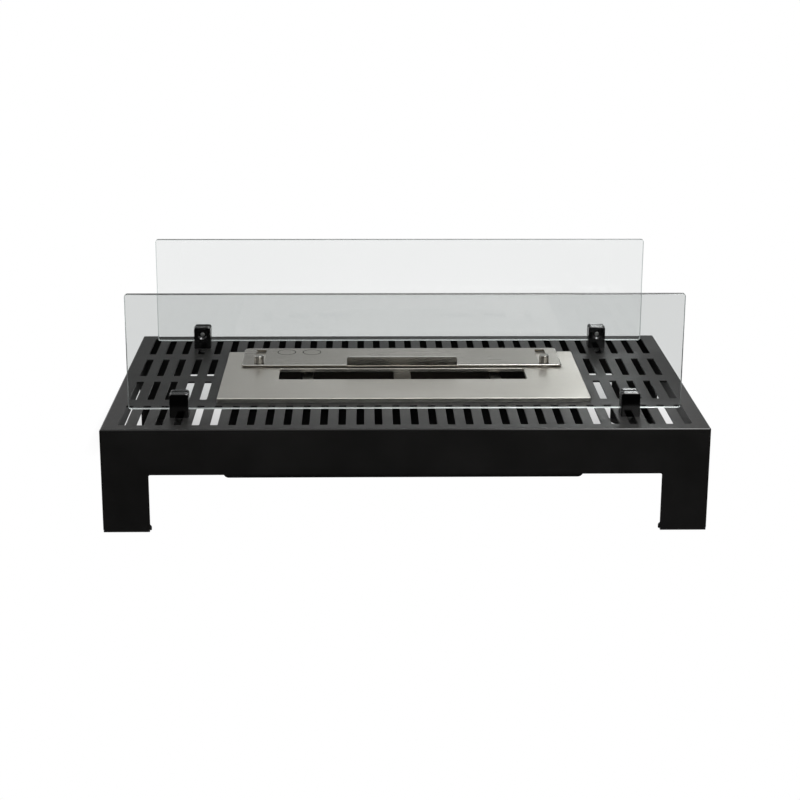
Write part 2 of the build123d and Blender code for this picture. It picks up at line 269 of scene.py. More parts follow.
@cache
def brush_group() -> bpy.types.NodeTree:
    """Long, thin lines left by a brushing belt.

    Returns:
        A group that gives a height, the lines and slow bands.
    """
    tree, canvas, source, target = new_group(
        "brush_lines", "ShaderNodeTree",
        [("Vector", "NodeSocketVector", None), ("Stretch", "NodeSocketVector", (1.0, 60.0, 60.0)),
         ("Line Scale", "NodeSocketFloat", 28.0)],
        [("Height", "NodeSocketFloat"), ("Lines", "NodeSocketFloat"), ("Bands", "NodeSocketFloat")])
    vector, stretch, scale = source.outputs[:3]
    stretched = canvas.node("ShaderNodeVectorMath", {0: vector, 1: stretch}, operation="MULTIPLY").outputs[0]
    thin = canvas.noise(stretched, scale, 5.0, 0.7)
    slow = canvas.noise(vector, 9.0, 3.0, 0.5)
    canvas.feed(target.inputs["Height"], thin)
    canvas.feed(target.inputs["Lines"], canvas.remap(thin, 0.3, 0.7, 0.0, 1.0))
    canvas.feed(target.inputs["Bands"], canvas.remap(slow, 0.35, 0.65, 0.0, 1.0))
    return tree


@cache
def dust_group() -> bpy.types.NodeTree:
    """Thin dust and handling marks that lie on faces turned upwards.

    Returns:
        A group that gives one mask.
    """
    tree, canvas, source, target = new_group(
        "settled_dust", "ShaderNodeTree",
        [("Vector", "NodeSocketVector", None), ("Amount", "NodeSocketFloat", 0.3)],
        [("Mask", "NodeSocketFloat")])
    vector, amount = source.outputs[:2]
    facing = canvas.split(canvas.node("ShaderNodeNewGeometry").outputs["Normal"])
    up = canvas.remap(facing["Z"], 0.2, 1.0, 0.0, 1.0)
    spots = canvas.remap(canvas.noise(vector, 260.0, 6.0, 0.75), 0.52, 0.72, 0.0, 1.0)
    canvas.feed(target.inputs["Mask"], canvas.math("MULTIPLY", canvas.math("MULTIPLY", up, spots), amount))
    return tree


# ---- finishes ----


def add_bump(canvas: Canvas, shader: bpy.types.Node, height: Socket, strength: float, distance: float
             ) -> None:
    """Feed a height to a shader's normal.

    Args:
        canvas: the material's canvas.
        shader: its Principled shader.
        height: the height's socket.
        strength: share of the full relief.
        distance: full relief in metres.
    """
    bump = canvas.node("ShaderNodeBump", {"Height": height, "Strength": strength, "Distance": distance})
    canvas.feed(shader.inputs["Normal"], bump.outputs["Normal"])


@dataclass(frozen=True)
class Finish:
    """Finish that varies between two colours over a piece."""

    name: str
    slot: Slot
    dark: Colour
    light: Colour

    def material(self) -> bpy.types.Material:
        """Build the material, or find it if it is there.

        Returns:
            The material.
        """
        if self.name in bpy.data.materials:
            return bpy.data.materials[self.name]
        made = bpy.data.materials.new(self.name)
        made.use_nodes = True
        canvas = Canvas(made.node_tree)
        place = canvas.node("ShaderNodeTexCoord").outputs["Object"]
        self.paint(canvas, made.node_tree.nodes["Principled BSDF"], place)
        return made

    def paint(self, canvas: Canvas, shader: bpy.types.Node, place: Socket) -> None:
        """Feed the material's shader, each kind of finish in its own way.

        Args:
            canvas: the material's canvas.
            shader: its Principled shader.
            place: the object coordinates.
        """
        raise NotImplementedError


@dataclass(frozen=True)
class Coating(Finish):
    """Paint, powder coat, rubber or wool: a dull surface with grain and some dust."""

    smooth: float
    dull: float
    specular: float = 0.5
    grain_scale: float = 1500.0
    grain_depth: float = 0.00003
    dust: float = 0.0
    dust_colour: Colour = (0.25, 0.25, 0.24)

    def paint(self, canvas: Canvas, shader: bpy.types.Node, place: Socket) -> None:
        """Paint patches, fine grain and settled dust.

        Args:
            canvas: the material's canvas.
            shader: its Principled shader.
            place: the object coordinates.
        """
        grain = canvas.node("ShaderNodeGroup", {"Vector": place, "Grain Scale": self.grain_scale},
                            node_tree=grain_group())
        dust = canvas.node("ShaderNodeGroup", {"Vector": place, "Amount": self.dust}, node_tree=dust_group())
        patches = grain.outputs["Patches"]
        colour = canvas.mix(patches, self.dark, self.light)
        canvas.feed(shader.inputs["Base Color"], canvas.mix(dust.outputs["Mask"], colour, self.dust_colour))
        canvas.feed(shader.inputs["Roughness"], canvas.remap(patches, 0.0, 1.0, self.smooth, self.dull))
        canvas.feed(shader.inputs["Specular IOR Level"], self.specular)
        add_bump(canvas, shader, grain.outputs["Height"], 0.5, self.grain_depth)


@dataclass(frozen=True)
class Brushed(Finish):
    """Bare metal with brushing lines."""

    smooth: float
    dull: float
    grain: Grain = Grain.ALONG_X
    line_scale: float = 28.0
    relief: float = 0.00001

    def paint(self, canvas: Canvas, shader: bpy.types.Node, place: Socket) -> None:
        """Paint brushing lines over slow bands.

        Args:
            canvas: the material's canvas.
            shader: its Principled shader.
            place: the object coordinates.
        """
        inputs = {"Vector": place, "Stretch": self.grain.value, "Line Scale": self.line_scale}
        lines = canvas.node("ShaderNodeGroup", inputs, node_tree=brush_group())
        share = canvas.math("MULTIPLY_ADD", lines.outputs["Lines"], 0.6,
                            canvas.math("MULTIPLY", lines.outputs["Bands"], 0.4))
        canvas.feed(shader.inputs["Base Color"], canvas.mix(share, self.dark, self.light))
        canvas.feed(shader.inputs["Roughness"], canvas.remap(share, 0.0, 1.0, self.dull, self.smooth))
        canvas.feed(shader.inputs["Metallic"], 1.0)
        add_bump(canvas, shader, lines.outputs["Height"], 0.35, self.relief)


@dataclass(frozen=True)
class ShadedInside(Brushed):
    """Bare metal with painted shade inside an upright box round the Z axis."""

    inner: Point = (0.0, 0.0)
    floor: float = 0.0
    # colour of the painted shade inside the box
    inside_shade: Colour = (0.068, 0.062, 0.054)

    def paint(self, canvas: Canvas, shader: bpy.types.Node, place: Socket) -> None:
        """Paint brushed metal, and painted shade inside the box.

        Args:
            canvas: the material's canvas.
            shader: its Principled shader.
            place: the object coordinates.
        """
        super().paint(canvas, shader, place)
        at = canvas.split(place)
        inside = canvas.math("GREATER_THAN", at[2], self.floor)
        for axis, reach in enumerate(self.inner):
            within = canvas.math("LESS_THAN", canvas.math("ABSOLUTE", at[axis]), reach)
            inside = canvas.math("MULTIPLY", inside, within)
        bare = shader.inputs["Base Color"].links[0].from_socket
        # painted shade over the bare metal inside the box
        canvas.feed(shader.inputs["Base Color"], canvas.mix(inside, bare, self.inside_shade))


@dataclass(frozen=True)
class Glass(Finish):
    """Clear tempered glass that lets the lamps through."""

    roughness: float
    index: float = 1.5
    grain_scale: float = 400.0
    patch_scale: float = 5.0
    shadow: Colour = (0.9, 0.93, 0.92)

    def paint(self, canvas: Canvas, shader: bpy.types.Node, place: Socket) -> None:
        """Tint the glass, and let lamp light through it.

        Args:
            canvas: the material's canvas.
            shader: its Principled shader.
            place: the object coordinates.
        """
        inputs = {"Vector": place, "Grain Scale": self.grain_scale, "Patch Scale": self.patch_scale}
        grain = canvas.node("ShaderNodeGroup", inputs, node_tree=grain_group())
        canvas.feed(shader.inputs["Base Color"], canvas.mix(grain.outputs["Patches"], self.dark, self.light))
        for name, value in (("Roughness", self.roughness), ("IOR", self.index), ("Transmission Weight", 1.0)):
            canvas.feed(shader.inputs[name], value)
        clear = canvas.node("ShaderNodeBsdfTransparent", {"Color": (*self.shadow, 1.0)})
        lamp = canvas.node("ShaderNodeLightPath").outputs["Is Shadow Ray"]
        both = canvas.node("ShaderNodeMixShader", {0: lamp, 1: shader.outputs[0], 2: clear.outputs[0]})
        canvas.feed(canvas.tree.nodes["Material Output"].inputs["Surface"], both.outputs[0])


POWDER = Coating("powder_coat", Slot.POWDER, (0.0088, 0.0085, 0.0082), (0.0125, 0.012, 0.0117), 0.36, 0.44,
                 specular=0.23, grain_scale=1400.0, grain_depth=0.00003, dust=0.05)
# glossier coat on the top's rounded outer edge, its colour darker than the top's as painted shade beside the
# edge highlight
POWDER_EDGE_SHADED = Coating("powder_edge_shaded", Slot.POWDER, (0.0055, 0.0053, 0.0051), (0.008, 0.0077, 0.0075), 0.08,
                      0.1, specular=0.32, grain_scale=1400.0, grain_depth=0.00001)
CRADLE_PAINT = Coating("cradle_paint", Slot.CRADLE, (0.012, 0.012, 0.0117), (0.018, 0.018, 0.0176), 0.5,
                       0.62, specular=0.25, grain_scale=900.0, grain_depth=0.00004, dust=0.04)
PAD_RUBBER = Coating("pad_rubber", Slot.PAD, (0.008, 0.008, 0.008), (0.013, 0.013, 0.013), 0.7, 0.85,
                     specular=0.2, grain_scale=700.0, grain_depth=0.00006)
LINER_RUBBER = Coating("liner_rubber", Slot.LINER, (0.01, 0.01, 0.01), (0.018, 0.018, 0.018), 0.6, 0.75,
                       specular=0.2, grain_scale=900.0, grain_depth=0.00004)
# white ceramic wool, its colour darkened as painted shade inside the burner's mouth
WOOL = Coating("ceramic_wool", Slot.WOOL, (0.19, 0.178, 0.157), (0.27, 0.254, 0.227), 0.9, 1.0,
               specular=0.1, grain_scale=420.0, grain_depth=0.0006)
PLATE_STEEL = Brushed("brushed_plate", Slot.STEEL, (0.59, 0.56, 0.513), (0.71, 0.674, 0.628), 0.27, 0.4)
LID_STEEL = Brushed("brushed_lid", Slot.STEEL, (0.37, 0.349, 0.315), (0.475, 0.45, 0.412), 0.22, 0.34,
                    line_scale=34.0)
TANK_STEEL = ShadedInside("drawn_steel", Slot.STEEL, (0.4, 0.38, 0.345), (0.52, 0.495, 0.455), 0.34, 0.5)
TURNED_STEEL = Brushed("turned_steel", Slot.STEEL, (0.34, 0.325, 0.3), (0.5, 0.48, 0.45), 0.07, 0.13,
                       grain=Grain.ALONG_Z, line_scale=60.0)
ETCHED = Brushed("etched_steel", Slot.STEEL, (0.04, 0.037, 0.033), (0.07, 0.066, 0.06), 0.5, 0.65)
# stainless strap painted dark, as painted shade in the burner's mouth
SHADED_STRAP_STEEL = Brushed("strap_steel_painted_shade", Slot.STEEL, (0.122, 0.112, 0.098), (0.175, 0.162, 0.141), 0.3, 0.42)
# stainless bars painted brighter than the plate, as painted light inside the shaded mouth
LIT_BAR_STEEL = Brushed("bar_steel_painted_light", Slot.STEEL, (0.64, 0.61, 0.555), (0.76, 0.725, 0.67), 0.3, 0.42)
# deburred steel, painted brighter as a painted highlight on the lid's upper edges
DEBURRED_EDGE_HIGHLIGHT = Brushed("deburred_edge_and_highlight", Slot.STEEL, (0.78, 0.76, 0.72), (0.86, 0.84, 0.8), 0.12, 0.2)
# laser-cut edge colour, also laid as painted shade on the lid's edge faces turned down
CUT_EDGE_AND_SHADE = Brushed("laser_cut_edge_and_shade", Slot.STEEL, (0.16, 0.14, 0.11), (0.24, 0.215, 0.175), 0.4, 0.55)
BLACK_CHROME = Brushed("black_chrome", Slot.CHROME, (0.7, 0.68, 0.64), (0.78, 0.76, 0.72), 0.06, 0.11,
                       grain=Grain.ALONG_Z, line_scale=12.0, relief=0.000001)
ZINC = Brushed("zinc_plated", Slot.ZINC, (0.4, 0.4, 0.4), (0.56, 0.56, 0.55), 0.28, 0.42,
               grain=Grain.ALONG_Z)
# same clear glass in both panes; the front one is tinted darker as painted shade
SHADED_FRONT_PANE = Glass("front_glass", Slot.GLASS, (0.705, 0.72, 0.717), (0.725, 0.738, 0.735), 0.0)
BACK_PANE = Glass("back_glass", Slot.GLASS, (0.915, 0.926, 0.924), (0.93, 0.94, 0.938), 0.0)
PANE_EDGE = Glass("ground_edge", Slot.GLASS, (0.46, 0.52, 0.505), (0.54, 0.6, 0.585), 0.3)


# ---- outlines and meshes ----


def quarter(steps: int) -> list[float]:
    """Angles of a quarter turn in equal steps."""
    return [i / steps * math.pi / 2 for i in range(steps + 1)]


def rounded(width: float, depth: float, radius: float, steps: int = 6, centre: Point = (0.0, 0.0)
            ) -> Outline:
    """Rounded rectangle that can be grown by a distance.

    Args:
        width: size along the first axis.
        depth: size along the second axis.
        radius: corner radius.
        steps: segments in each corner.
        centre: its middle.

    Returns:
        A function from a distance to the grown outline's points.
    """
    def grown(distance: float) -> list[Point]:
        """Give the outline grown by a distance.

        Args:
            distance: how far it is grown.

        Returns:
            Its points.
        """
        points, reach = [], radius + distance
        for corner in range(4):
            middle = (corner + 0.5) * math.pi / 2
            cx = centre[0] + math.copysign(width / 2 - radius, math.cos(middle))
            cy = centre[1] + math.copysign(depth / 2 - radius, math.sin(middle))
            for step in range(steps + 1):
                angle = (corner + step / steps) * math.pi / 2
                points.append((cx + reach * math.cos(angle), cy + reach * math.sin(angle)))
        return points
    return grown


def circle(radius: float, steps: int = 48, centre: Point = (0.0, 0.0)) -> Outline:
    """Circle that can be grown by a distance.

    Args:
        radius: its radius.
        steps: its number of points.
        centre: its middle.

    Returns:
        A function from a distance to the grown outline's points.
    """
    def grown(distance: float) -> list[Point]:
        """Give the outline grown by a distance."""
        return [(centre[0] + (radius + distance) * math.cos(2 * math.pi * i / steps),
                 centre[1] + (radius + distance) * math.sin(2 * math.pi * i / steps)) for i in range(steps)]
    return grown


def hexagon(flats: float, steps: int = 48, centre: Point = (0.0, 0.0)) -> Outline:
    """Hexagon that can be grown by a distance, with its points spread evenly by angle.

    Args:
        flats: size across flats.
        steps: its number of points, a multiple of 12.
        centre: its middle.

    Returns:
        A function from a distance to the grown outline's points.
    """
    def grown(distance: float) -> list[Point]:
        """Give the outline grown by a distance.

        Args:
            distance: how far it is grown.

        Returns:
            Its points.
        """
        points = []
        for i in range(steps):
            angle = 2 * math.pi * i / steps
            off = angle % (math.pi / 3) - math.pi / 6
            reach = (flats / 2 + distance) / math.cos(off)
            points.append((centre[0] + reach * math.cos(angle), centre[1] + reach * math.sin(angle)))
        return points
    return grown


@dataclass(frozen=True)
class Rim:
    """One edge of a flat piece: its outline and how its upper and lower corners are rounded."""

    outline: Outline
    top: float = 0.3
    bottom: float = 0.3
    steps: int = 3

    def loops(self, low: float, high: float, side: int) -> list[list[Vector]]:
        """Give the loops of this edge's wall, from below to above.

        Args:
            low: height of the lower face.
            high: height of the upper face.
            side: -1 for an outer edge, 1 for a hole.

        Returns:
            Loops of points with equal counts.
        """
        section = []
        turns = quarter(self.steps)
        for turn in turns if self.bottom else turns[-1:]:
            rise = self.bottom * (1 - math.cos(turn))
            section.append((side * self.bottom * (1 - math.sin(turn)), low + rise))
        for turn in reversed(turns if self.top else turns[-1:]):
            fall = self.top * (1 - math.cos(turn))
            section.append((side * self.top * (1 - math.sin(turn)), high - fall))
        return [[Vector((x, y, z)) for x, y in self.outline(grow)] for grow, z in section]


def join_loops(bm: bmesh.types.BMesh, loops: Sequence[Sequence[Vector]], ring: bool = False
               ) -> list[list[bmesh.types.BMVert]]:
    """Join loops of equal counts with quads.

    Args:
        bm: the mesh to add to.
        loops: the loops, in order.
        ring: joins the last loop to the first one too.

    Returns:
        The loops' vertices.
    """
    rows = [[bm.verts.new(point) for point in loop] for loop in loops]
    pairs = list(zip(rows, rows[1:])) + ([(rows[-1], rows[0])] if ring else [])
    for lower, upper in pairs:
        count = len(lower)
        for i in range(count):
            bm.faces.new((lower[i], lower[(i + 1) % count], upper[(i + 1) % count], upper[i]))
    return rows


def flat_piece(outer: Rim, holes: Iterable[Rim], low: float, high: float) -> bmesh.types.BMesh:
    """Flat piece with rounded edges and holes.

    Args:
        outer: its outer edge.
        holes: the edges of its holes.
        low: height of its lower face.
        high: height of its upper face.

    Returns:
        The closed mesh.
    """
    bm = bmesh.new()
    walls = [join_loops(bm, outer.loops(low, high, -1))]
    walls += [join_loops(bm, hole.loops(low, high, 1)) for hole in holes]
    for row in (0, -1):
        rings = [wall[row] for wall in walls]
        verts = [vert for ring in rings for vert in ring]
        for face in tessellate_polygon([[vert.co for vert in ring] for ring in rings]):
            bm.faces.new([verts[i] for i in face])
    return bm


def capped(section: Sequence[tuple[Sequence[Point], float]]) -> bmesh.types.BMesh:
    """Solid through outlines of equal counts, closed at its two ends.

    Args:
        section: points and height of each outline.

    Returns:
        The closed mesh.
    """
    bm = bmesh.new()
    rows = join_loops(bm, [[Vector((x, y, z)) for x, y in points] for points, z in section])
    bm.faces.new(rows[0])
    bm.faces.new(rows[-1])
    return bm


def turned(profile: Sequence[Point], steps: int = 48) -> bmesh.types.BMesh:
    """Turned piece on the Z axis with flat ends.

    Args:
        profile: radius and height of each step, from below to above.
        steps: points round the axis.

    Returns:
        The closed mesh.
    """
    return capped([(circle(radius, steps)(0), z) for radius, z in profile])


def prism(points: Sequence[Point], low: float, high: float) -> bmesh.types.BMesh:
    """Solid with one flat outline, which may be hollow at a corner.

    Args:
        points: the outline.
        low: start of its thickness.
        high: end of its thickness.

    Returns:
        The closed mesh.
    """
    return capped([(points, low), (points, high)])


def cuboid(low: Sequence[float], high: Sequence[float]) -> bmesh.types.BMesh:
    """Plain block between two corners, used as a blank or a cutter."""
    outline = [(low[0], low[1]), (high[0], low[1]), (high[0], high[1]), (low[0], high[1])]
    return prism(outline, low[2], high[2])


def upright(bm: bmesh.types.BMesh, side: float = 1.0, shift: Place = (0.0, 0.0, 0.0)) -> None:
    """Stand a flat mesh up, so that its Y becomes Z and its thickness lies along Y.

    Args:
        bm: the mesh.
        side: 1, or -1 to turn the thickness towards the front.
        shift: how far it is moved then.
    """
    x, y, z = shift
    bm.transform(Matrix(((1, 0, 0, x), (0, 0, side, y), (0, 1, 0, z), (0, 0, 0, 1))))


def soften(bm: bmesh.types.BMesh, width: float, steps: int = 2, angle: float = 50.0,
           chosen: Callable[[Vector, Vector], bool] | None = None) -> bmesh.types.BMesh:
    """Round the sharp edges of a mesh.

    Args:
        bm: the mesh.
        width: size of the rounding.
        steps: its segments.
        angle: least angle between the faces of a sharp edge.
        chosen: says by an edge's middle and direction whether it is rounded.

    Returns:
        The same mesh.
    """
    bmesh.ops.recalc_face_normals(bm, faces=bm.faces)
    edges = []
    for edge in bm.edges:
        if not edge.is_manifold or edge.calc_face_angle(0.0) < math.radians(angle):
            continue
        first, second = (vert.co for vert in edge.verts)
        if chosen is None or chosen((first + second) / 2, (second - first).normalized()):
            edges.append(edge)
    bmesh.ops.bevel(bm, geom=edges, offset=width, segments=steps, profile=0.5, affect="EDGES",
                    clamp_overlap=True)
    return bm


def to_mesh(bm: bmesh.types.BMesh, name: str) -> bpy.types.Mesh:
    """Turn a bmesh into a mesh and free it.

    Args:
        bm: the bmesh.
        name: the mesh's name.

    Returns:
        The mesh, with its normals outwards.
    """
    bmesh.ops.recalc_face_normals(bm, faces=bm.faces)
    mesh = bpy.data.meshes.new(name)
    bm.to_mesh(mesh)
    bm.free()
    return mesh


def from_mesh(mesh: bpy.types.Mesh) -> bmesh.types.BMesh:
    """Turn a mesh into a bmesh and remove it.

    Args:
        mesh: the mesh.

    Returns:
        The bmesh.
    """
    bm = bmesh.new()
    bm.from_mesh(mesh)
    bpy.data.meshes.remove(mesh)
    return bm


def evaluated(obj: bpy.types.Object) -> bpy.types.Mesh:
    """Give the plain mesh that an object's modifiers make, and clear them.

    Args:
        obj: the object.

    Returns:
        The new mesh.
    """
    bpy.context.view_layer.update()
    graph = bpy.context.evaluated_depsgraph_get()
    mesh = bpy.data.meshes.new_from_object(obj.evaluated_get(graph), preserve_all_data_layers=True,
                                           depsgraph=graph)
    obj.modifiers.clear()
    return mesh


def combine(bm: bmesh.types.BMesh, tools: Iterable[bmesh.types.BMesh], operation: str = "DIFFERENCE"
            ) -> bmesh.types.BMesh:
    """Cut or join solids.

    Args:
        bm: the solid that is kept.
        tools: the solids to cut away or to add.
        operation: "DIFFERENCE", "UNION" or "INTERSECT".

    Returns:
        The result.
    """
    scratch = [bpy.data.objects.new("blank", to_mesh(bm, "blank"))]
    scratch += [bpy.data.objects.new("tool", to_mesh(tool, "tool")) for tool in tools]
    for obj in scratch:
        bpy.context.scene.collection.objects.link(obj)
    for tool in scratch[1:]:
        modifier = scratch[0].modifiers.new("cut", "BOOLEAN")
        modifier.operation = operation
        modifier.solver = "EXACT"
        modifier.object = tool
    mesh = evaluated(scratch[0])
    for obj in scratch:
        bpy.data.objects.remove(obj)
    result = from_mesh(mesh)
    bmesh.ops.remove_doubles(result, verts=result.verts, dist=WELD)
    return result


def grow(tree: bpy.types.NodeTree, values: dict[str, object], base: bmesh.types.BMesh | None = None
         ) -> bmesh.types.BMesh:
    """Run a geometry tree and give its result as a plain mesh.

    Args:
        tree: the geometry node tree.
        values: its inputs by name.
        base: the geometry that it starts from.

    Returns:
        The result.
    """
    mesh = to_mesh(base, "grown") if base else bpy.data.meshes.new("grown")
    obj = bpy.data.objects.new("grown", mesh)
    bpy.context.scene.collection.objects.link(obj)
    modifier = obj.modifiers.new("grown", "NODES")
    modifier.node_group = tree
    for item in tree.interface.items_tree:
        if item.item_type == "SOCKET" and item.in_out == "INPUT" and item.name in values:
            modifier[item.identifier] = values[item.name]
    made = evaluated(obj)
    bpy.data.objects.remove(obj)
    return from_mesh(made)


def add_piece(name: str, bm: bmesh.types.BMesh, finishes: Sequence[Finish], body: Body,
              stands_for: Sequence[str] = (), crease: float = 50.0) -> bpy.types.Object:
    """Make a finished piece of the object.

    Args:
        name: the piece's name.
        bm: its mesh in millimetres.
        finishes: its finishes, by material number. The first one gives its slot.
        body: the body that it rides on.
        stands_for: the CAD nodes that it replaces.
        crease: least angle of an edge that stays sharp, in degrees.

    Returns:
        The new object.
    """
    bmesh.ops.recalc_face_normals(bm, faces=bm.faces)
    for face in bm.faces:
        face.smooth = True
    for edge in bm.edges:
        edge.smooth = edge.calc_face_angle(0.0) < math.radians(crease)
    bmesh.ops.scale(bm, vec=(MM, MM, MM), verts=bm.verts)
    mesh = to_mesh(bm, name)
    numbers = [min(polygon.material_index, len(finishes) - 1) for polygon in mesh.polygons]
    mesh.materials.clear()
    for finish in finishes:
        mesh.materials.append(finish.material())
    mesh.polygons.foreach_set("material_index", numbers)
    obj = bpy.data.objects.new(name, mesh)
    bpy.context.scene.collection.objects.link(obj)
    modifier = obj.modifiers.new("normals", "WEIGHTED_NORMAL")
    modifier.keep_sharp = True
    obj.data = evaluated(obj)
    obj.data.name = name
    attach(obj, body.value)
    if stands_for:
        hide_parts(*stands_for)
    LOG.info("%s: %d faces on %s", name, len(obj.data.polygons), body.value)
    return obj


def dress(names: Iterable[str], finish: Finish) -> None:
    """Give carried-over CAD nodes their finish.

    Args:
        names: the nodes.
        finish: the finish they get.
    """
    for name in names:
        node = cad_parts[name]
        if not node.data.materials:
            node.data.materials.append(None)
        for number in range(len(node.material_slots)):
            node.material_slots[number].material = finish.material()
        LOG.info("%s: carried over with %s", name, finish.name)


# ---- geometry trees ----


def edge_wall_tree() -> bpy.types.NodeTree:
    """Closed wall along a rounded rectangle, with rounded upper and lower corners.

    Returns:
        The geometry group.
    """
    names = ["Width", "Depth", "Corner", "Top", "Bottom", "Top Round", "Bottom Round", "Side"]
    tree, canvas, source, target = new_group(
        "edge_wall", "GeometryNodeTree",
        [(name, "NodeSocketFloat", 1.0) for name in names]
        + [("Corner Steps", "NodeSocketInt", 4), ("Round Steps", "NodeSocketInt", 3)],
        [("Geometry", "NodeSocketGeometry")])
    width, depth, corner, top, bottom, top_round, bottom_round, side, steps, rounds = source.outputs[:10]
    m = canvas.math
    per_corner = m("ADD", steps, 1.0)
    around = m("MULTIPLY", per_corner, 4.0)
    levels = m("MULTIPLY", m("ADD", rounds, 1.0), 2.0)
    last = m("SUBTRACT", levels, 1.0)
    grid = canvas.node("GeometryNodeMeshGrid", {"Size X": 1.0, "Size Y": 1.0,
                                                "Vertices X": m("ADD", around, 1.0), "Vertices Y": levels})
    place = canvas.split(canvas.node("GeometryNodeInputPosition").outputs[0])
    column = m("MODULO", m("ROUND", m("MULTIPLY", m("ADD", place[0], 0.5), around)), around)
    row = m("ROUND", m("MULTIPLY", m("ADD", place[1], 0.5), last))
    nudge = 0.01  # keeps a whole quotient from falling short of itself in FLOOR
    number = m("FLOOR", m("DIVIDE", m("ADD", column, nudge), per_corner))
    share = m("DIVIDE", m("SUBTRACT", column, m("MULTIPLY", number, per_corner)), steps)
    angle = m("MULTIPLY", m("ADD", number, share), math.pi / 2)
    middle = m("MULTIPLY", m("ADD", number, 0.5), math.pi / 2)
    lower = m("GREATER_THAN", row, m("ADD", rounds, 0.5))
    fall = m("DIVIDE", row, rounds)
    rise = m("DIVIDE", m("SUBTRACT", last, row), rounds)
    turn = m("MULTIPLY", m("MINIMUM", fall, rise), math.pi / 2)

    def either(above: Socket, below: Socket) -> Socket:
        """Give one value on the wall's upper half and another one on its lower half."""
        inputs = {"Switch": lower, "False": above, "True": below}
        return canvas.node("GeometryNodeSwitch", inputs, input_type="FLOAT").outputs[0]

    radius = either(top_round, bottom_round)
    inset = m("MULTIPLY", radius, m("SUBTRACT", 1.0, m("SINE", turn)))
    drop = m("MULTIPLY", radius, m("SUBTRACT", 1.0, m("COSINE", turn)))
    height = either(m("SUBTRACT", top, drop), m("ADD", bottom, drop))
    reach = m("ADD", corner, m("MULTIPLY", side, inset))

    def across(size: Socket, wave: str) -> Socket:
        """Give the wall's X or Y, by its size there and the wave that it follows."""
        centre = m("MULTIPLY", m("SIGN", m(wave, middle)), m("SUBTRACT", m("MULTIPLY", size, 0.5), corner))
        return m("ADD", centre, m("MULTIPLY", reach, m(wave, angle)))

    point = canvas.node("ShaderNodeCombineXYZ", {0: across(width, "COSINE"), 1: across(depth, "SINE"),
                                                 2: height})
    bent = canvas.node("GeometryNodeSetPosition", {"Geometry": grid.outputs["Mesh"],
                                                   "Position": point.outputs[0]})
    closed = canvas.node("GeometryNodeMergeByDistance", {"Geometry": bent.outputs[0], "Distance": WELD})
    canvas.feed(target.inputs[0], closed.outputs[0])
    return tree


def end_tree(canvas: Canvas, geometry: Socket, finish: Finish, target: bpy.types.Node) -> None:
    """End a geometry tree with plain geometry and its material.

    Args:
        canvas: the tree's canvas.
        geometry: what it has made.
        finish: the finish that it gets.
        target: the tree's output node.
    """
    real = canvas.node("GeometryNodeRealizeInstances", {"Geometry": geometry})
    made = canvas.node("GeometryNodeSetMaterial", {"Geometry": real.outputs[0],
                                                   "Material": finish.material()})
    canvas.feed(target.inputs[0], made.outputs[0])


